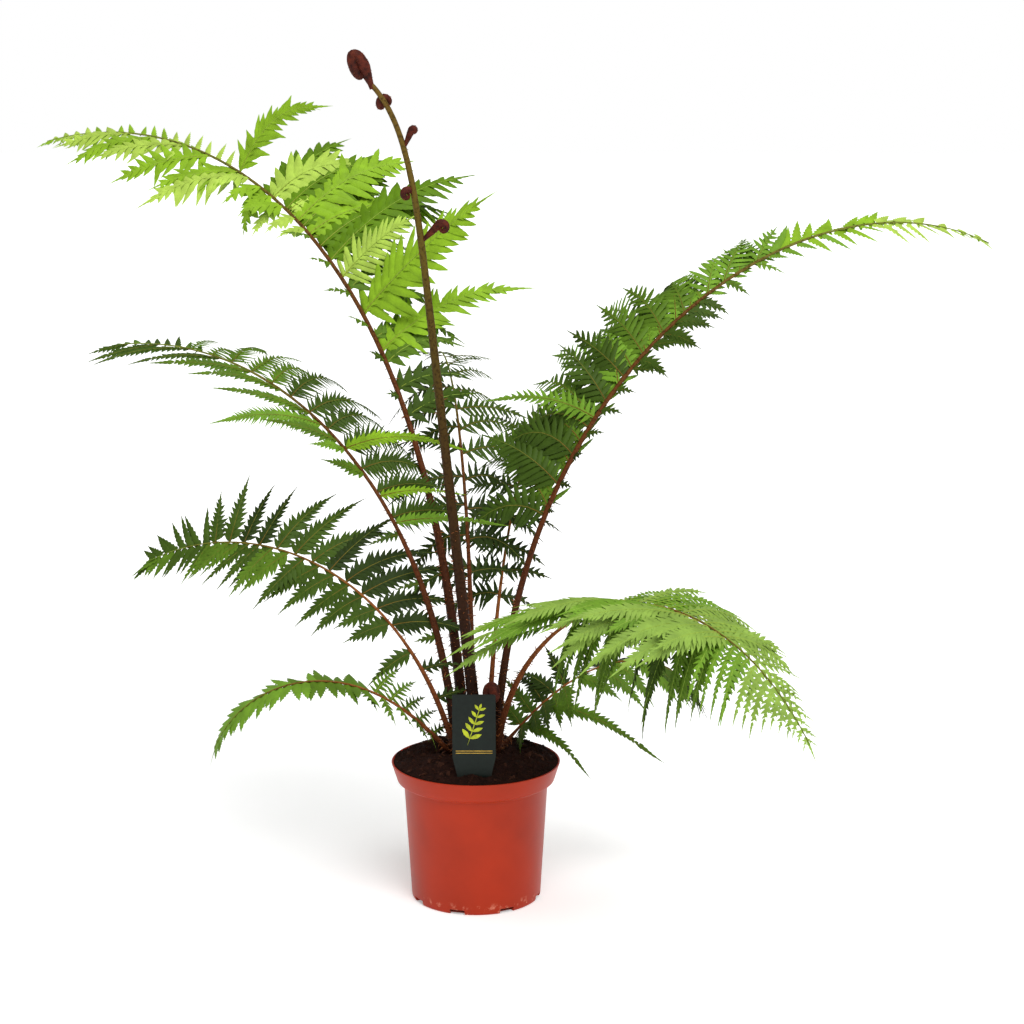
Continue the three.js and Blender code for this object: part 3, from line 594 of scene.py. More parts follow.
addFrond(
    "frond_high_right",
    dict(seat=(10, 0.026, 0.205), heading=15, sweep=15, rise=85, fall=-21, bend=1.3, length=1.09, bare=0.27,
         stalkRadius=0.0056, rachisRadius=0.0032, roll=(-14, -20), crowding=0.94, wild=1.8, stalk="stalk",
         slot="frond_green", seed=12),
    row(-1, (-0.02, 0.54), 16, (0.15, 0.16, 0.15, 0.12, 0.08), (54, 38), (0.5, 0.3), (1.1, 0.9),
        "slat", 0.052, "mid fresh fresh fresh"),
    row(-1, (-0.04, 0.4), 9, (0.13, 0.13, 0.11), (72, 62), (0.9, 0.6), (1.3, 1.1),
        "slat", 0.05, "deep deep mid"),
    row(-1, (0, 0.54), 14, (0.06, 0.075, 0.065), (66, 50), (0.3, 0.2), (1, 0.8),
        "slat", 0.032, "mid mid fresh fresh"),
    row(-1, (0.15, 0.16), 1, 0.17, 84, 1.5, 1, "lace", 0.022, "fresh"),
    row(-1, (0.48, 1), 26, (0.075, 0.06, 0.042, 0.034, 0.016), (40, 26), (0.25, 0.1), (0.6, 0.4),
        "blade", 0.016, "fresh lime pale pale", 20),
    row(1, (0.26, 0.42), 6, (0.045, 0.06, 0.055, 0.04), (66, 50), (0.1, 0), (1.3, 1.6),
        "tooth", 0.022, "deep", 25),
    row(1, (-0.02, 0.28), 7, (0.025, 0.035, 0.045), (75, 65), (0.3, 0.1), (0.9, 1.2),
        "lace", 0.014, "dark deep", 25),
    row(1, (0.44, 0.56), 2, (0.05, 0.04), (60, 55), 0, 1.6, "lace", 0.011, "mid fresh"),
    row(1, (0.54, 1), 19, (0.03, 0.045, 0.045, 0.035, 0.02), (54, 36), 0.05, (1.2, 0.8),
        "blade", 0.015, "fresh lime pale pale", 30),
)
addFrond(
    "frond_mid_left",
    dict(seat=(180, 0.027, 0.215), heading=141, sweep=14, rise=81.5, fall=-9, bend=1.17, length=0.778,
         bare=0.34, stalkRadius=0.0058, rachisRadius=0.0026, roll=(18, 14), wild=1.3, stalk="stalk",
         slot="frond_deep", seed=13),
    row(1, (0, 0.8), 12, (0.1, 0.115, 0.1, 0.06), (96, 84), (1, 0.3), (1.3, 1.7),
        "comb", 0.032, "deep deep mid"),
    row(1, (0.72, 1), 9, (0.045, 0.035, 0.02), (60, 40), 0.1, (0.4, 0.3),
        "blade", 0.011, "mid deep mid", 20),
    row(-1, (0.1, 1), 9, (0.05, 0.14, 0.15, 0.12, 0.04), (54, 24), (0.5, 0), (0.6, 0.3),
        "tooth", 0.014, "mid mid deep", 50),
    row(-1, (0.28, 0.36), 1, 0.16, 54, 0.35, 0.55, "comb", 0.026, "fresh", 35),
    row(1, (0.22, 0.26), 1, 0.17, 128, 1.4, 0.6, "tooth", 0.014, "lime"),
    row(-1, (0.22, 0.24), 1, 0.06, 60, 0.5, 0.6, "tooth", 0.014, "fresh"),
    row(1, (0.07, 0.11), 1, 0.13, 130, 1.6, 0.9, "tooth", 0.01, "lime"),
    row(1, (0, 0.02), 1, 0.16, 125, 1.5, 0.7, "tooth", 0.012, "fresh"),
    row(-1, (-0.35, 0.05), 3, (0.03, 0.05), 80, 0.1, 0.8, "lace", 0.012, "deep"),
)
addFrond(
    "frond_low_left",
    dict(seat=(205, 0.031, 0.198), heading=153, sweep=13, rise=70.7, fall=-28, bend=1.19, length=0.529,
         bare=0.3, stalkRadius=0.004, rachisRadius=0.0018, roll=(58, 55), wild=1.2, slot="frond_deep",
         seed=14),
    row(1, (0, 0.56), 8, (0.1, 0.135, 0.13, 0.11), (112, 100), 0.05, (0.6, 0.4),
        "tooth", 0.022, "dark dark deep"),
    row(1, (0.56, 0.78), 4, (0.105, 0.09, 0.07), (98, 82), 0.05, (0.3, 0.2), "tooth", 0.018, "dark deep"),
    row(1, (0.77, 1), 8, (0.065, 0.05, 0.024), (78, 40), 0.05, 0.2, "blade", 0.012, "deep"),
    row(-1, (0, 0.56), 9, (0.055, 0.08, 0.09, 0.085), (72, 52), 0.05, (0.7, 0.5),
        "tooth", 0.02, "deep deep mid"),
    row(-1, (0.52, 0.78), 7, (0.085, 0.075, 0.06), (52, 42), 0.05, (0.4, 0.3), "tooth", 0.014, "deep mid"),
    row(-1, (0.76, 1), 9, (0.06, 0.048, 0.024), (52, 34), 0.05, 0.2, "blade", 0.012, "deep mid"),
    row(-1, (0.95, 1), 3, 0.05, (16, 4), 0, 0.1, "blade", 0.011, "deep mid"),
    row(1, (-0.3, -0.08), 2, (0.04, 0.06), 95, 0.1, 0.8, "lace", 0.014, "dark"),
    row(-1, (-0.12, -0.05), 1, 0.07, 80, 0.2, 1, "tooth", 0.016, "deep"),
)
addFrond(
    "frond_front_right",
    dict(seat=(335, 0.031, 0.2), heading=318, sweep=-12, rise=80, fall=-50, bend=0.93, length=0.636,
         bare=0.38, stalkRadius=0.0045, rachisRadius=0.0016, wild=1.1, rib="paleRib", slot="frond_green",
         seed=15),
    row(1, (-0.06, 0.62), 18, (0.17, 0.185, 0.17, 0.13), (126, 98), (0.3, 0.25), (0.35, 0.55),
        "plume", 0.021, "soft fresh soft soft", -55),
    row(1, (0.03, 0.6), 12, (0.11, 0.13, 0.1), (112, 88), (0.45, 0.3), (0.35, 0.5),
        "plume", 0.021, "soft soft fresh soft", -40),
    row(1, (-0.04, 0.6), 13, (0.11, 0.14, 0.145, 0.11), (100, 68), (-0.7, -0.6), (1.3, 1.8),
        "tooth", 0.021, "mid mid deep mid", 20),
    row(1, (0.56, 1), 15, (0.11, 0.095, 0.07, 0.03, 0.01), (70, 42), 0, (1.6, 2.2),
        "lace", 0.013, "fresh soft soft"),
    row(-1, (0, 0.6), 20, (0.09, 0.11, 0.095), (88, 62), (0.3, 0.15), (0.6, 1),
        "plume", 0.022, "soft fresh soft", -40),
    row(-1, (0.58, 1), 12, (0.08, 0.055, 0.03, 0.01), (60, 42), (0.1, 0.05), (0.9, 1.3),
        "lace", 0.014, "soft", -20),
)
addFrond(
    "frond_small_left",
    dict(seat=(195, 0.035, 0.188), heading=198, rise=49, fall=-68, bend=1.65, length=0.355, bare=0.28,
         stalkRadius=0.0034, rachisRadius=0.0016, crowding=0.9, wild=1.5, rib="paleRib", slot="frond_green",
         seed=16),
    row(1, (0.12, 1), 22, (0.045, 0.05, 0.042, 0.02), (92, 42), (0.3, 0), (0.4, 0.5),
        "blade", 0.018, "mid fresh fresh", 30),
    row(-1, (0.12, 1), 22, (0.045, 0.055, 0.045, 0.02), (90, 38), (0.05, 0), (0.6, 0.5),
        "blade", 0.018, "mid fresh fresh"),
    row(1, (-0.3, 0.16), 5, (0.035, 0.055, 0.07), (125, 118), 0.9, 0.8, "lace", 0.02, "deep mid"),
    row(-1, (-0.3, 0.2), 5, (0.03, 0.042, 0.04), (125, 110), -0.3, 0.6, "lace", 0.016, "deep mid"),
)
addFrond(
    "frond_small_right",
    dict(seat=(20, 0.034, 0.186), heading=22, rise=45, fall=-70, bend=1.85, length=0.33, bare=0.1,
         stalkRadius=0.0034, rachisRadius=0.0016, roll=(-10, 0), crowding=0.9, wild=1.3, slot="frond_deep",
         seed=17),
    row(1, (0.3, 1), 9, (0.08, 0.1, 0.08, 0.03), (62, 50), (0.1, 0), (1.2, 1.8),
        "tooth", 0.02, "mid deep dark"),
    row(-1, (0.3, 1), 9, (0.05, 0.09, 0.07, 0.03), (60, 45), 0, (0.8, 1), "tooth", 0.018, "dark dark deep"),
    row(1, (0.14, 0.15), 1, 0.17, 40, -0.4, 0.45, "tooth", 0.013, "mid", 40),
    row(1, (0.01, 0.02), 1, 0.11, 62, -0.1, 1.3, "tooth", 0.012, "mid", 30),
    row(1, (0, 0.3), 5, (0.05, 0.08, 0.085), (110, 100), 0.3, 0.8, "tooth", 0.019, "deep mid", 30),
    row(-1, (-0.02, 0.3), 5, (0.05, 0.08, 0.08), 80, 0.5, 0.8, "tooth", 0.018, "deep dark"),
)
addFrond(
    "frond_back_right",
    dict(seat=(55, 0.028, 0.215), heading=75, rise=78, fall=15, bend=1.3, length=0.5, bare=0.36,
         stalkRadius=0.0038, rachisRadius=0.002, wild=2, slot="frond_dark", seed=18),
    row(1, (-0.1, 1), 11, (0.05, 0.08, 0.06, 0.02), (80, 45), (0.1, 0), (1.4, 1),
        "lace", 0.02, "dark dark deep"),
    row(-1, (-0.1, 1), 12, (0.08, 0.125, 0.09, 0.02), (80, 45), (0.1, 0), (1.4, 1),
        "lace", 0.026, "dark deep deep"),
)
addFrond(
    "frond_back",
    dict(seat=(100, 0.026, 0.225), heading=98, rise=88, fall=-14, bend=1.4, length=0.66, bare=0.32,
         stalkRadius=0.0044, rachisRadius=0.0024, wild=2, stalk="stalk", slot="frond_dark", seed=19),
    row(1, (-0.1, 1), 13, (0.08, 0.14, 0.11, 0.03), (80, 45), (0.1, 0), (1.3, 1),
        "lace", 0.028, "dark deep deep"),
    row(-1, (-0.1, 1), 13, (0.08, 0.14, 0.11, 0.03), (80, 45), (0.1, 0), (1.3, 1),
        "lace", 0.026, "dark dark deep"),
)


def unit(vectors):
    return vectors / np.linalg.norm(vectors, axis=-1, keepdims=True)


def between(pair, share):
    return pair[0] + (pair[1] - pair[0]) * share


def evenly(values, share):
    # reads one value or a few evenly spaced ones at a share of their row
    values = np.atleast_1d(values)
    return float(np.interp(share, np.linspace(0, 1, len(values)), values))


def frameAt(frond, share):
    # the frond's direction, its right-hand side and the way its face looks
    share = np.asarray(share, dtype=float)
    turn = np.radians(frond["heading"] + frond["sweep"] * share)
    bent = np.maximum(share, 0) ** frond["bend"]
    climb = np.radians(between((frond["rise"], frond["fall"]), bent))
    along = np.stack([np.cos(climb) * np.cos(turn), np.cos(climb) * np.sin(turn), np.sin(climb)], -1)
    side = np.stack([np.sin(turn), -np.cos(turn), 0 * turn], -1)
    return along, side, np.cross(side, along)


def seatOf(frond):
    azimuth, radius, height = frond["seat"]
    angle = math.radians(azimuth)
    return np.array([radius * math.cos(angle), radius * math.sin(angle), height])


def rachisLine(frond):
    # points along the rachis for any shares, those under 0 run back into the crown
    walk = frondRule["walk"]
    middles = (np.arange(walk) + 0.5) / walk
    steps = frameAt(frond, middles)[0] * frond["length"] / walk
    points = seatOf(frond) + np.vstack([np.zeros(3), np.cumsum(steps, axis=0)])
    first = frameAt(frond, 0.0)[0]

    def at(shares):
        shares = np.atleast_1d(shares)
        return spread(points, shares) + np.minimum(shares, 0)[:, None] * frond["length"] * first

    return at


def spread(values, share):
    # a row of vectors read at shares of its length
    knots = np.arange(len(values)) / (len(values) - 1)
    return np.stack([np.interp(share, knots, values[:, axis]) for axis in range(values.shape[1])], -1)


def pinnaPlan(frond, rng):
    # where each pinna stands and how it grows, row by row
    def stray(label):
        return frond["wild"] * frondRule[label] * rng.uniform(-1, 1)

    for ways in frond["rows"]:
        tints = ways["tints"]
        shift = frondRule["firstAt"] + (frondRule["stagger"] if ways["hand"] < 0 else 0)
        for i in range(ways["count"]):
            v = ((i + shift) / ways["count"]) ** frond["crowding"]
            deal = int(v * len(tints) + frondRule["tintSpread"] * rng.uniform(-1, 1))
            yield dict(
                u=between(ways["span"], v),
                hand=ways["hand"],
                leaf=ways["leaf"],
                leafLength=ways["leafLength"],
                tint=tints[min(max(deal, 0), len(tints) - 1)],
                length=evenly(ways["pinna"], v) * (1 - abs(stray("lengthSpread"))),
                angle=evenly(ways["angle"], v) + stray("angleSpread"),
                lift=evenly(ways["lift"], v) + stray("liftSpread"),
                sag=evenly(ways["sag"], v) * (1 + stray("sagSpread")),
                twist=ways["twist"] + stray("twistSpread"),
            )


def pinnae(frond, line, rng):
    # every pinna as points with a direction, a forward edge and a face
    steps = frondRule["pinnaSteps"]
    knots = np.arange(steps + 1) / steps
    found = list(pinnaPlan(frond, rng))
    for pinna in found:
        share = between((frond["bare"], 1), pinna["u"])
        along, side, normal = frameAt(frond, share)
        roll = math.radians(between(frond["roll"], pinna["u"]))
        across = side * math.cos(roll) + normal * math.sin(roll)
        above = normal * math.cos(roll) - side * math.sin(roll)
        angle = math.radians(pinna["angle"])
        start = math.cos(angle) * along + pinna["hand"] * math.sin(angle) * across + pinna["lift"] * above
        sag = pinna["sag"] * pinna["length"] / frondRule["sagLength"]

        def travelAt(t):
            return unit(start - sag * t[:, None] * up)

        walked = np.cumsum(travelAt(knots[1:] - 0.5 / steps) * pinna["length"] / steps, axis=0)
        travel = travelAt(knots)
        edge = unit(along - travel * (travel @ along)[:, None])
        face = pinna["hand"] * np.cross(travel, edge)
        turn = np.radians(pinna["twist"] * knots)[:, None]
        pinna["points"] = line(share)[0] + np.vstack([np.zeros(3), walked])
        pinna["travel"] = travel
        pinna["edge"] = edge * np.cos(turn) + face * np.sin(turn)
        pinna["face"] = face * np.cos(turn) - edge * np.sin(turn)
    return found


# leaflets in two ranks: each rank's hand and shift, then how their size, width and angle run along the pinna
spray = dict(ranks=((1, 0.35), (-1, 0.75)), fewest=3, firstAt=0.02, span=0.9, angle=(76, 42), tiltSpread=8,
             longest=0.36, full=1.08, first=0.72, swell=1.6, taper=0.9, least=0.06, widths=(0.5, 1),
             broadest=0.8, heel=0.3, dip=0.1, wholeAim=0.5, tailAt=0.84, tail=0.24, tailLeast=0.004,
             tailWidth=0.04, tailWidthLeast=0.0012)


def leafAnchors(found, kinds, tints, rng):
    # leaflets in two ranks along every pinna and a slender tail at its tip
    anchors = []

    def put(point, along, facing, length, width, kind, tint):
        size = (length, width, length)
        anchors.append(dict(point=point, along=along, facing=facing, size=size, kind=kind, tint=tint))

    for pinna in found:
        tint = tints.index(pinna["tint"])
        leaf = leafShapes[pinna["leaf"]]
        right = 2 * kinds.index(pinna["leaf"])
        length = pinna["length"]
        if leaf.get("whole"):
            kind = right if pinna["hand"] > 0 else right + 1
            travel = spread(pinna["travel"], spray["wholeAim"])
            put(pinna["points"][0], travel, pinna["face"][0], length, pinna["leafLength"], kind, tint)
            continue
        count = max(spray["fewest"], round(spray["span"] * length / leaf["spacing"]))
        longest = min(pinna["leafLength"], spray["longest"] * length)
        for rank, shift in spray["ranks"]:
            kind = right if rank * pinna["hand"] > 0 else right + 1
            for k in range(count):
                v = spray["firstAt"] + spray["span"] * (k + shift) / count
                shape = min(1, spray["first"] + spray["swell"] * v)
                shape = shape * (1 - v ** leaf["narrow"]) ** spray["taper"] + spray["least"]
                size = longest * shape * (spray["full"] - leaf["vary"] * rng.uniform())
                angle = math.radians(between(spray["angle"], v) + leaf["stray"] * rng.uniform(-1, 1))
                travel = spread(pinna["travel"], v)
                face = spread(pinna["face"], v)
                outward = rank * math.sin(angle) * spread(pinna["edge"], v)
                tilt = math.radians(leaf["tilt"] + spray["tiltSpread"] * rng.uniform(-1, 1))
                facing = math.cos(tilt) * face + math.sin(tilt) * travel
                width = leaf["spacing"] * leaf["width"] * between(spray["widths"], min(1, shape))
                width = min(width, spray["broadest"] * size)
                along = math.cos(angle) * travel + outward - spray["dip"] * face
                heel = spray["heel"] * width  # the base reaches past the rib, so no gap is left beside it
                put(spread(pinna["points"], v) - heel * along, along, facing, size + heel, width, kind, tint)
        ways = [spread(pinna[label], spray["tailAt"]) for label in ("points", "travel", "face")]
        tail = spray["tail"] * length + spray["tailLeast"]
        width = spray["tailWidth"] * length + spray["tailWidthLeast"]
        put(*ways, tail, width, 2 * mostKinds, tint)
    return anchors


tipLeaf = dict(at=0.985, size=(0.03, 0.006, 0.03))
anchorValues = {label: "FLOAT_VECTOR" for label in ("along", "facing", "size")}
anchorValues.update(kind="INT", tint="INT")


def makeFrond(name, frond):
    rng = np.random.default_rng(frond["seed"])
    line = rachisLine(frond)
    found = pinnae(frond, line, rng)
    kinds = sorted({pinna["leaf"] for pinna in found})
    tints = sorted({pinna["tint"] for pinna in found})
    anchors = leafAnchors(found, kinds, tints, rng)
    # the frond's own tip ends in a slender leaflet too
    along, normal = frameAt(frond, 1.0)[::2]
    tip = dict(point=line(tipLeaf["at"])[0], along=along, facing=normal, size=tipLeaf["size"])
    tip["kind"] = 2 * mostKinds
    tip["tint"] = tints.index(max(found, key=lambda pinna: pinna["u"])["tint"])
    anchors.append(tip)
    mesh = plainMesh(name + "_anchors", [anchor["point"] for anchor in anchors])
    for label, kind in anchorValues.items():
        addAttribute(mesh, label, kind, [anchor[label] for anchor in anchors])
    values = {"Tail": leafObjects["tail_left"]}
    for k in range(mostKinds):
        kind = kinds[min(k, len(kinds) - 1)]
        values[f"Right {k}"] = leafObjects[kind + "_right"]
        values[f"Left {k}"] = leafObjects[kind + "_left"]
    for k in range(mostTints):
        values[f"Tint {k}"] = finishes[tints[min(k, len(tints) - 1)]]
    leaves = grow(name + "_leaflets", mesh, [(leafTree, values)])
    piece(name + "_leaflets", leaves, frond["slot"], [name + "_blade", name + "_tip"])
    makeRibs(name, frond, found)
    makeStem(name, frond, line)
    return len(leaves.polygons)


def strandMesh(name, strands):
    # strands of points with a thickness, a rise and a share of prickles along each
    points = np.vstack([strand["points"] for strand in strands])
    edges = []
    first = 0
    for strand in strands:
        edges += [(first + k, first + k + 1) for k in range(len(strand["points"]) - 1)]
        first += len(strand["points"])
    mesh = plainMesh(name, points, edges=edges)
    for label in ("thick", "rise", "where"):
        addAttribute(mesh, label, "FLOAT", np.concatenate([strand[label] for strand in strands]))
    return mesh


ribs = dict(root=0.007, least=0.0004, most=0.0007, tip=0.3, sunk=0.5, sides=5, step=0.012, relief=0.0,
            reliefScale=1.0)


def makeRibs(name, frond, found):
    strands = []
    for pinna in found:
        if leafShapes[pinna["leaf"]].get("whole"):
            continue
        share = np.linspace(0, 1, len(pinna["points"]))
        root = min(max(ribs["root"] * pinna["length"], ribs["least"]), ribs["most"])
        thick = root * between((1, ribs["tip"]), share)
        points = pinna["points"] - pinna["face"] * thick[:, None] * ribs["sunk"]
        strands.append(dict(points=points, thick=thick, rise=share, where=0 * share))
    mesh = grow(name + "_ribs", strandMesh(name + "_rib_paths", strands), [tubeStep(ribs, frond["rib"])])
    piece(name + "_ribs", mesh, "frond_stalk", [name + "_blade", name + "_tip"])


# a bent three-sided thorn, one unit tall: radius, shift and height of its rings
thorn = dict(corners=(0.5, 2.6, 4.7), rings=((0.16, 0.0, -0.2), (0.1, 0.1, 0.5)), tip=(0.4, 0.0, 1.0))


def prickleMesh():
    points = []
    for radius, shift, height in thorn["rings"]:
        points += [(radius * math.cos(a) + shift, radius * math.sin(a), height) for a in thorn["corners"]]
    points.append(thorn["tip"])
    faces = [(k, (k + 1) % 3, 3 + (k + 1) % 3, 3 + k) for k in range(3)]
    faces += [(3 + k, 3 + (k + 1) % 3, 6) for k in range(3)]
    return plainMesh("prickle", points, faces)


prickle = storeShape("prickle", prickleMesh())
stems = dict(sides=12, step=0.003, relief=0.0007, reliefScale=160.0, stations=90, stalkThins=0.75,
             bladeThins=2, prickles=dict(density=28000.0, smallest=0.003, largest=0.006, lean=0.5))


def stemShares(frond):
    return np.linspace(-frondRule["foot"] / frond["length"], 1, stems["stations"])


def growStem(name, frond, line, thick, where):
    share = stemShares(frond)
    strand = dict(points=line(share), thick=thick, rise=np.clip(share, 0, 1), where=where)
    tube = tubeStep(stems, frond["stalk"])
    prickles = scatterStep(prickle, stems["prickles"], frond["seed"], "prickle")
    return grow(name + "_stem", strandMesh(name + "_stem_path", [strand]), [tube, prickles])


def makeStem(name, frond, line):
    share = stemShares(frond)
    stalk = np.clip(share / frond["bare"], 0, 1)
    blade = np.clip((share - frond["bare"]) / (1 - frond["bare"]), 0, 1)
    thick = between((frond["stalkRadius"], frond["rachisRadius"]), stalk)
    thick += (frondRule["rachisTip"] - frond["rachisRadius"]) * blade
    where = np.clip(1 - stems["stalkThins"] * stalk - stems["bladeThins"] * blade, 0, 1)
    mesh = growStem(name, frond, line, thick, where)
    piece(name + "_stem", mesh, "frond_stalk", [name + "_stalk"])


leafFaces = 0
for name, frond in fronds.items():
    leafFaces += makeFrond(name, frond)
print("fronds grown:", len(fronds), "with", leafFaces, "leaflet faces")


# The young frond, its coils and the bud
young = dict(seat=(250, 0.006, 0.245), heading=180, sweep=0, rise=84, fall=45, bend=12, length=0.768,
             radii=(0.0075, 0.003), prickles=(0.9, -1.5, 0.02), stalk="oliveStalk", seed=31)
coils = {
    "young_frond_head": dict(
        share=1, stalk=0.0075, radius=0.0078, coil=0.0066, stretch=2.75, azimuth=195, lean=22),
    "young_frond_curl_1": dict(share=0.745, stalk=0.026, radius=0.0054, coil=0.0056, azimuth=350, lean=46),
    "young_frond_curl_2": dict(share=0.82, stalk=0.003, radius=0.0048, coil=0.0055, azimuth=205, lean=60),
    "young_frond_curl_3": dict(
        share=0.89, stalk=0.014, radius=0.0046, coil=0.0022, stretch=1.4, azimuth=355, lean=24),
    "young_frond_curl_4": dict(
        share=0.965, stalk=0.002, radius=0.0052, coil=0.0072, azimuth=20, lean=-40, behind=0.007),
    "bud": dict(stalk=0.018, radius=0.0085, coil=0.0085, stretch=1.1, azimuth=300, lean=6),
}
coilRule = dict(outerTurn=210, innerTurn=330, outerShrink=0.1, innerShrink=0.28, steps=60,
                neck=(0.45, 0.75, 1), sink=0.006, firstScales=0.3, firstSeed=40, relief=0.12,
                tube=dict(sides=14, step=0.0012, reliefScale=260.0),
                scales=dict(density=60000.0, smallest=0.0008, largest=0.0022, lean=1.1))


def makeYoungStalk():
    share = stemShares(young)
    most, change, least = young["prickles"]
    where = np.clip(most + change * share, least, 1)
    thick = between(young["radii"], np.clip(share, 0, 1))
    mesh = growStem("young_frond", young, rachisLine(young), thick, where)
    piece("young_frond_stem", mesh, "young_stalk", ["young_frond_stalk"])


def coilPath(coil):
    # up +Z, then round towards +X, ever tighter
    points = [np.array([0, 0, share * coil["stalk"]]) for share in (0, 0.5, 1)]
    thick = [coil["radius"] * share for share in coilRule["neck"]]
    outer = math.radians(coilRule["outerTurn"])
    whole = outer + math.radians(coilRule["innerTurn"])
    step = whole / coilRule["steps"]
    for k in range(coilRule["steps"]):
        turn = (k + 0.5) * step
        fade = math.exp(-coilRule["outerShrink"] * turn - coilRule["innerShrink"] * max(turn - outer, 0))
        run = np.array([math.sin(turn), 0, math.cos(turn)]) * coil["coil"] * fade * step
        points.append(points[-1] + run)
        thick.append(coil["radius"] * fade)
    points = np.array(points) * np.array([1, 1, coil.get("stretch", 1)])
    return points, np.array(thick)


def makeCoil(name, coil, seed):
    points, thick = coilPath(coil)
    turn = Matrix.Rotation(math.radians(coil["azimuth"]), 3, "Z")
    turn = turn @ Matrix.Rotation(math.radians(coil["lean"]), 3, "Y")
    points = points @ np.array(turn).T
    outward = unit(points[1] - points[0])
    if "share" in coil:
        carrier = rachisLine(young)(coil["share"])[0]
        radius = between(young["radii"], coil["share"])
        points += carrier + outward * (radius if coil["share"] < 1 else 0)
    else:  # the bud stands where its solid does
        low = (points - thick[:, None]).min(axis=0)
        high = (points + thick[:, None]).max(axis=0)
        points += (np.array(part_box(name)[0]) + np.array(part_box(name)[1]) - low - high) / 2
    root = points[0] - outward * coilRule["sink"]
    if "behind" in coil:  # the coil lies flat against the back of its carrier
        points += carrier + np.array([0, coil["behind"], 0]) - points.mean(axis=0)
        root = carrier
    points = np.vstack([root, points])
    thick = np.concatenate([[thick[0]], thick])
    share = np.linspace(0, 1, len(points))
    where = np.clip(coilRule["firstScales"] + share, 0, 1)
    path = strandMesh(name + "_path", [dict(points=points, thick=thick, rise=share, where=where)])
    tube = dict(coilRule["tube"], relief=coilRule["relief"] * coil["radius"])
    steps = [tubeStep(tube, "scale"), scatterStep(prickle, coilRule["scales"], seed, "prickle")]
    piece(name + "_coil", grow(name + "_coil", path, steps), "coil_scales", [name])


makeYoungStalk()
for seed, (name, coil) in enumerate(coils.items(), coilRule["firstSeed"]):
    makeCoil(name, coil, seed)
print("young frond and", len(coils), "coils made")


# Pot, soil and crown are turned shapes
def turnedMesh(name, profile, segments):
    # a closed turned body from (radius, height) pairs that start and end on the axis
    points = [(0.0, 0.0, profile[0][1])]
    for radius, height in profile[1:-1]:
        for k in range(segments):
            angle = 2 * math.pi * k / segments
            points.append((radius * math.cos(angle), radius * math.sin(angle), height))
    points.append((0.0, 0.0, profile[-1][1]))
    rings = len(profile) - 2
    last = len(points) - 1
    faces = []
    for k in range(segments):
        after = (k + 1) % segments
        faces.append((0, 1 + after, 1 + k))
        top = 1 + (rings - 1) * segments
        faces.append((last, top + k, top + after))
        for ring in range(rings - 1):
            a = 1 + ring * segments
            faces.append((a + k, a + after, a + segments + after, a + segments + k))
    mesh = plainMesh(name, points, faces)
    mesh.shade_smooth()
    return mesh


def rounded(profile, radii, steps=4):
    # corners of a profile taken off by arcs
    result = []
    for k, (corner, radius) in enumerate(zip(profile, radii)):
        if radius == 0:
            result.append(corner)
            continue
        here = Vector(corner)
        before = (Vector(profile[k - 1]) - here).normalized()
        after = (Vector(profile[k + 1]) - here).normalized()
        for j in range(steps + 1):
            t = j / steps
            start = here + before * radius
            end = here + after * radius
            result.append(tuple(start.lerp(here, t).lerp(here.lerp(end, t), t)))
    return result


pot = dict(height=0.1735, rim=0.105, bandHeight=0.023, bandFoot=0.0977, shoulder=0.0895, shoulderDrop=0.004,
           foot=0.0806, wall=0.0024, floor=0.003, floorInset=0.0005, segments=160, slots=8, firstSlot=29,
           slotWidth=0.019, slotHeight=0.006, slotDepth=0.008, footRings=(0.007, 0.009, 0.013, 0.03, 0.07),
           rounds=dict(foot=0.003, shoulder=0.0015, band=0.0012, rim=0.0011, inside=0.001, floor=0.002))
bandLevel = pot["height"] - pot["bandHeight"]
shoulderLevel = bandLevel - pot["shoulderDrop"]


def makeSlotTree():
    inputs = {"Slots": "Int", "Foot Radius": "Float", "First Slot": "Float", "Slot Size": "Vector"}
    tree, start, given = newTree("drainSlots", dict(inputs, Finish="Material"))
    ring = start.node("GeometryNodeMeshCircle", {"Vertices": given["Slots"], "Radius": given["Foot Radius"]})
    block = start.node("GeometryNodeMeshCube", {"Size": given["Slot Size"]})
    step = 2 * math.pi * start.maths("DIVIDE", start.node("GeometryNodeInputIndex"), given["Slots"])
    spin = start.node("ShaderNodeCombineXYZ", {"Z": step})
    spin = start.node("FunctionNodeEulerToRotation", {"Euler": spin})
    blocks = start.node("GeometryNodeInstanceOnPoints", {"Points": ring, "Instance": block, "Rotation": spin})
    turn = start.node("ShaderNodeCombineXYZ", {"Z": given["First Slot"]})
    blocks = start.node("GeometryNodeTransform", {"Geometry": blocks, "Rotation": turn})
    blocks = start.node("GeometryNodeRealizeInstances", {"Geometry": blocks})
    sockets = {"Mesh 1": given["Geometry"], "Mesh 2": [blocks]}
    cut = start.node("GeometryNodeMeshBoolean", sockets, operation="DIFFERENCE", solver="EXACT")
    endTree(start, coated(start, cut, given["Finish"]))
    return tree


def potRadius(height):
    return float(np.interp(height, [0, shoulderLevel, bandLevel, pot["height"]],
                           [pot["foot"], pot["shoulder"], pot["bandFoot"], pot["rim"]]))


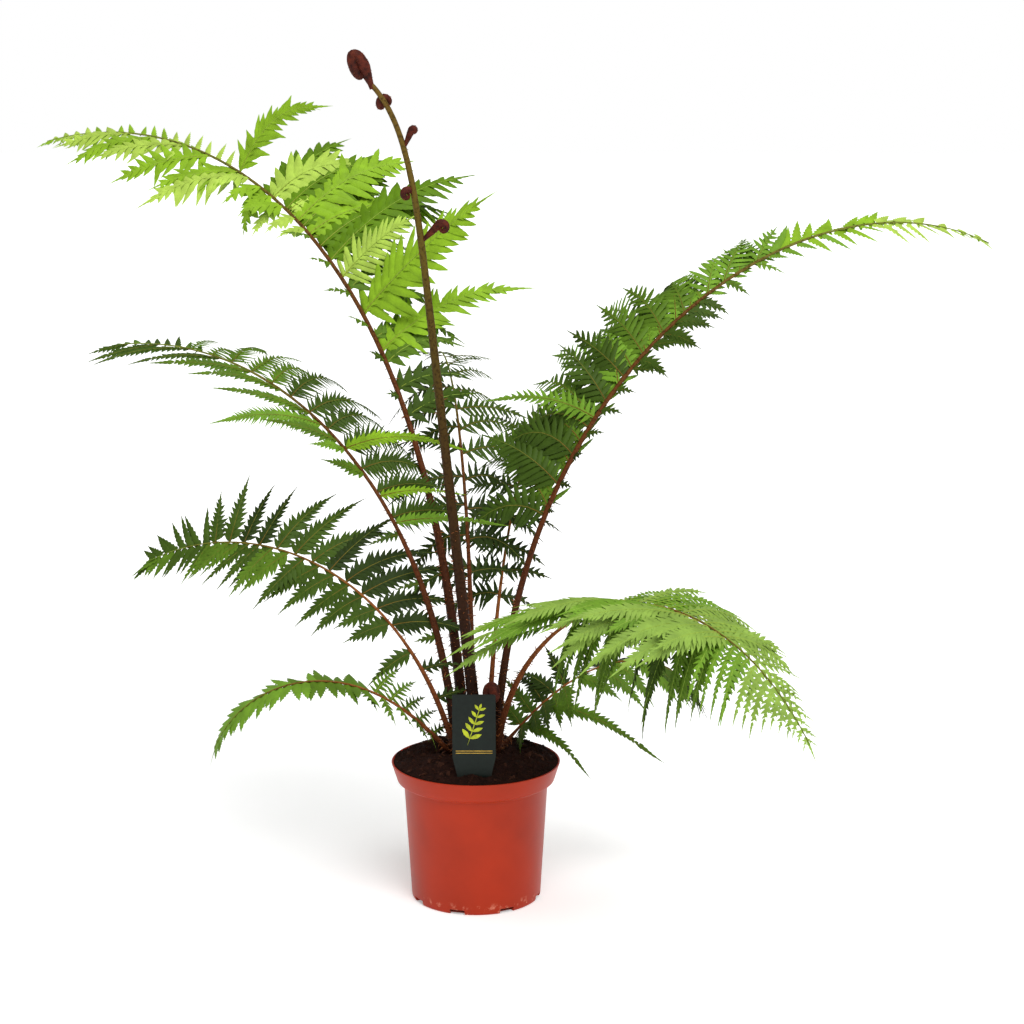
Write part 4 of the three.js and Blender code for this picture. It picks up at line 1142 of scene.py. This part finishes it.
def makePot():
    wall = pot["wall"]
    rounds = pot["rounds"]
    corners = [
        ((0, 0), 0),
        ((pot["foot"], 0), rounds["foot"]),
        *[((potRadius(height), height), 0) for height in pot["footRings"]],
        ((pot["shoulder"], shoulderLevel), rounds["shoulder"]),
        ((pot["bandFoot"], bandLevel), rounds["band"]),
        ((pot["rim"], pot["height"]), rounds["rim"]),
        ((pot["rim"] - wall, pot["height"]), rounds["rim"]),
        ((pot["bandFoot"] - wall, bandLevel), rounds["inside"]),
        ((pot["shoulder"] - wall, shoulderLevel), rounds["inside"]),
        ((pot["foot"] - wall + pot["floorInset"], pot["floor"]), rounds["floor"]),
        ((0, pot["floor"]), 0),
    ]
    mesh = turnedMesh("pot_body", rounded(*zip(*corners)), pot["segments"])
    values = {"Slots": pot["slots"], "Foot Radius": pot["foot"], "First Slot": math.radians(pot["firstSlot"])}
    values["Slot Size"] = (2 * pot["slotDepth"], pot["slotWidth"], 2 * pot["slotHeight"])
    values["Finish"] = finishes["pot"]
    mesh = grow("pot_body", mesh, [(makeSlotTree(), values)])
    piece("pot_body", mesh, "pot_plastic", ["pot"])


# lumps of soil and crown: scale of the noise, then its fineness, step and octaves
soil = dict(wallTop=0.173, crownTop=0.185, crownRadius=0.072, rings=60, segments=180, skin=0.002,
            roughness=0.0035, lumps=(70, 0.8, 2.1, 5), bed=0.0036, gap=0.0006, clear=0.003,
            crumb=dict(flatness=0.8, shapeSeed=3, density=42000.0, smallest=0.0006, largest=0.0026, lean=3.0,
                       seed=5),
            chip=dict(flatness=0.35, shapeSeed=4, density=1600.0, smallest=0.003, largest=0.006, lean=0.9,
                      seed=6))
pebble = dict(sides=5, belt=0.89, heights=(0.45, -0.45), stretch=(0.7, 1.2), narrow=0.8)


def pebbleMesh(name, flatness, seed):
    # a lumpy pebble of few faces
    rng = np.random.default_rng(seed)
    sides = pebble["sides"]
    points = [(0, 0, 1)]
    for ring, height in enumerate(pebble["heights"]):
        for k in range(sides):
            angle = 2 * math.pi * (k + 0.5 * ring) / sides
            points.append((pebble["belt"] * math.cos(angle), pebble["belt"] * math.sin(angle), height))
    points.append((0, 0, -1))
    stretch = rng.uniform(*pebble["stretch"], (len(points), 1))
    points = np.array(points) * stretch * np.array([1, pebble["narrow"], flatness])
    faces = []
    low = 1 + sides
    for k in range(sides):
        after = (k + 1) % sides
        faces.append((0, 1 + k, 1 + after))
        faces.append((1 + k, low + k, 1 + after))
        faces.append((1 + after, low + k, low + after))
        faces.append((low + sides, low + after, low + k))
    return plainMesh(name, points, faces)


def pebbleStep(name):
    rule = soil[name]
    shape = storeShape(name, pebbleMesh(name, rule["flatness"], rule["shapeSeed"]))
    return scatterStep(shape, rule, rule["seed"], name)


def lumpAt(place, lumps):
    scale, *ways = lumps
    return noise.fractal(place * scale, *ways)


def makeSoil():
    inset = pot["wall"] + soil["gap"]
    edge = potRadius(soil["wallTop"]) - inset
    profile = [(0, soil["bed"])]
    for height in (soil["bed"], shoulderLevel, bandLevel):
        profile.append((potRadius(height) - inset, height))
    for k in range(soil["rings"]):
        radius = edge * (1 - k / soil["rings"])
        height = float(np.interp(radius, [soil["crownRadius"], edge], [soil["crownTop"], soil["wallTop"]]))
        profile.append((radius, height))
    profile.append((0, soil["crownTop"]))
    mesh = turnedMesh("soil_bed", profile, soil["segments"])
    where = np.zeros(len(mesh.vertices))
    for k, vertex in enumerate(mesh.vertices):
        if vertex.co.z > soil["wallTop"] - soil["skin"]:
            vertex.co.z += soil["roughness"] * lumpAt(vertex.co, soil["lumps"])
            where[k] = 1.0 if math.hypot(vertex.co.x, vertex.co.y) < edge - soil["clear"] else 0.0
    addAttribute(mesh, "where", "FLOAT", where)
    mesh.materials.append(finishes["soil"])
    mesh = grow("soil_bed", mesh, [pebbleStep("crumb"), pebbleStep("chip")])
    piece("soil_bed", mesh, "potting_soil", ["soil"])


crown = dict(rings=((0.031, 0.0), (0.029, 0.022), (0.023, 0.044), (0.014, 0.058)), cap=0.004, segments=60,
             steps=26, roughness=0.002, lumps=(90, 0.8, 2.0, 4),
             fibres=dict(density=42000.0, smallest=0.005, largest=0.013, lean=0.8), seed=8)
fibre = dict(stations=((0.0, 0.09), (0.4, 0.08), (0.75, 0.05)), bend=0.5, tip=(0.55, 0.0, 1.0))


def fibreMesh():
    # a narrow scale that bends over
    points = []
    for x, half in fibre["stations"]:
        points += [(fibre["bend"] * x * x, side, x) for side in (-half, half)]
    points.append(fibre["tip"])
    return plainMesh("fibre", points, [(0, 1, 3, 2), (2, 3, 5, 4), (4, 5, 6)])


def makeCrown():
    radii, heights = zip(*crown["rings"])
    foot = soil["crownTop"]
    profile = [(0, foot)]
    for k in range(crown["steps"] + 1):
        height = heights[-1] * k / crown["steps"]
        profile.append((float(np.interp(height, heights, radii)), foot + height))
    profile.append((0, foot + heights[-1] + crown["cap"]))
    mesh = turnedMesh("crown_stem", profile, crown["segments"])
    for vertex in mesh.vertices:
        lump = lumpAt(vertex.co, crown["lumps"])
        away = Vector((vertex.co.x, vertex.co.y, 0)).normalized()
        vertex.co += away * crown["roughness"] * lump
    addAttribute(mesh, "where", "FLOAT", np.ones(len(mesh.vertices)))
    mesh.materials.append(finishes["fibre"])
    step = scatterStep(storeShape("fibre", fibreMesh()), crown["fibres"], crown["seed"], "fibre")
    piece("crown_stem", grow("crown_stem", mesh, [step]), "crown_fibre", ["crown"])


makePot()
makeSoil()
makeCrown()
print("pot, soil and crown made")


# The tag: a thin card on a tapered foot, with a plain sprig over two lines
tag = dict(width=0.052, top=0.284, neck=0.204, footWidth=0.02, footEnd=0.134, thickness=0.0012, corner=0.003,
           cornerSteps=4, place=(-0.0005, -0.086), lean=5, lines=(0.209, 0.2118), lineWidth=0.044,
           lineHeight=0.0008, proud=0.00025)
sprig = dict(foot=(-0.008, 0.219), tip=(0.009, 0.273), stemWidth=0.0012, pairs=5, leafLength=0.017,
             leafWidth=0.0062, leafAngle=52, shrink=0.55, lastAt=0.85, lastSize=0.5,
             leaf=((0, 0), (0.25, -0.36), (0.55, -0.5), (0.8, -0.3),
                   (1, 0), (0.8, 0.3), (0.55, 0.5), (0.25, 0.36)))


def tagPlace():
    move = Matrix.Translation((*tag["place"], soil["crownTop"]))
    lean = Matrix.Rotation(math.radians(tag["lean"]), 4, "X")
    return move @ lean @ Matrix.Translation((0, 0, -soil["crownTop"]))


def plate(outline, front, back):
    # a flat plate in X and Z from an outline that runs anticlockwise as seen from the front
    count = len(outline)
    points = [(x, front, z) for x, z in outline] + [(x, back, z) for x, z in outline]
    faces = [tuple(range(count)), tuple(range(2 * count - 1, count - 1, -1))]
    for k in range(count):
        after = (k + 1) % count
        faces.append((k, count + k, count + after, after))
    return points, faces


def tagPiece(name, outlines, front, back, finish, nodes):
    points, faces = [], []
    for outline in outlines:
        more, sides = plate(outline, front, back)
        faces += [tuple(len(points) + corner for corner in side) for side in sides]
        points += more
    mesh = plainMesh(name, points, faces)
    mesh.materials.append(finishes[finish])
    mesh.transform(tagPlace())
    piece(name, mesh, "tag_card", nodes)


def leafOutline(root, angle, size):
    # a pointed leaf from its root, with its points anticlockwise
    cos, sin = math.cos(angle), math.sin(angle)
    length, width = size
    return [(root[0] + length * x * cos - width * y * sin, root[1] + length * x * sin + width * y * cos)
            for x, y in sprig["leaf"]]


def sprigOutlines():
    foot, tip = Vector(sprig["foot"]), Vector(sprig["tip"])
    lean = math.atan2(tip.y - foot.y, tip.x - foot.x)

    def leafSize(share):
        return share * sprig["leafLength"], share * sprig["leafWidth"]

    leaves = [leafOutline(foot, lean, ((tip - foot).length, sprig["stemWidth"]))]
    for k in range(sprig["pairs"]):
        share = (k + 1) / (sprig["pairs"] + 1)
        root = foot.lerp(tip, share)
        for side in (1, -1):
            angle = lean + side * math.radians(sprig["leafAngle"])
            leaves.append(leafOutline(root, angle, leafSize(1 - sprig["shrink"] * share)))
    leaves.append(leafOutline(foot.lerp(tip, sprig["lastAt"]), lean, leafSize(sprig["lastSize"])))
    return leaves


def makeTag():
    half = tag["width"] / 2
    corner = tag["corner"]
    foot = tag["footWidth"] / 2
    outline = [(-foot, tag["footEnd"]), (foot, tag["footEnd"]), (half, tag["neck"])]
    level = tag["top"] - corner
    for centre, first in ((half - corner, 0), (corner - half, 90)):
        for k in range(tag["cornerSteps"] + 1):
            angle = math.radians(first + 90 * k / tag["cornerSteps"])
            outline.append((centre + corner * math.cos(angle), level + corner * math.sin(angle)))
    outline.append((-half, tag["neck"]))
    face = -tag["thickness"] / 2
    tagPiece("tag_card", [outline], face, -face, "card", ["tag"])
    # flat prints that stand a hair proud of the card
    front, back = face - tag["proud"], face + tag["proud"]
    width = tag["lineWidth"] / 2
    high = tag["lineHeight"]
    lines = [[(-width, z), (width, z), (width, z + high), (-width, z + high)] for z in tag["lines"]]
    tagPiece("tag_lines", lines, front, back, "gold", [])
    tagPiece("tag_sprig", sprigOutlines(), front, back, "sprig", [])


makeTag()
print("tag made")


# Studio: a wide white floor, a broad soft lamp from the upper right and the photo's camera
studio = dict(floor=60.0, floorTone=0.9, floorGlow=0.3, sky=0.4, sun=3.0, sunWidth=50,
              sunFrom=(0.5, -1.0, 1.7), cameraPlace=(0.045, -2.5, 0.955), cameraDown=10.6, focalPixels=2089,
              framePixels=1024, sensor=36.0)


def makeStudio():
    scene = bpy.context.scene
    half = studio["floor"]
    corners = [(-half, -half, 0), (half, -half, 0), (half, half, 0), (-half, half, 0)]
    floor = hold("floor", plainMesh("floor", corners, [(0, 1, 2, 3)]))
    tone = studio["floorTone"]
    floor.data.materials.append(makeFinish("floor_white", lambda start: {
        "Base Color": (tone, tone, tone, 1.0), "Roughness": 0.8, "Specular IOR Level": 0.0,
        "Emission Color": (1, 1, 1, 1), "Emission Strength": studio["floorGlow"],
    }))
    world = bpy.data.worlds.new("studio")
    world.use_nodes = True
    world.node_tree.nodes.clear()
    start = Wire(world.node_tree)
    seen = start.node("ShaderNodeLightPath", output="Is Camera Ray")  # the backdrop stays white
    strength = studio["sky"] + (1 - studio["sky"]) * seen
    sky = start.node("ShaderNodeBackground", {"Color": (1, 1, 1, 1), "Strength": strength})
    start.node("ShaderNodeOutputWorld", {"Surface": sky})
    scene.world = world
    lamp = bpy.data.lights.new("sun", "SUN")
    lamp.energy = studio["sun"]
    lamp.angle = math.radians(studio["sunWidth"])
    holder = bpy.data.objects.new("sun", lamp)
    holder.rotation_euler = Vector(studio["sunFrom"]).to_track_quat("Z", "Y").to_euler()
    scene.collection.objects.link(holder)
    camera = bpy.data.objects.new("camera", bpy.data.cameras.new("camera"))
    camera.data.sensor_width = studio["sensor"]
    camera.data.lens = studio["sensor"] * studio["focalPixels"] / studio["framePixels"]
    camera.location = studio["cameraPlace"]
    camera.rotation_euler = (math.radians(90 - studio["cameraDown"]), 0, 0)
    scene.collection.objects.link(camera)
    scene.camera = camera
    scene.view_settings.view_transform = "Standard"


makeStudio()
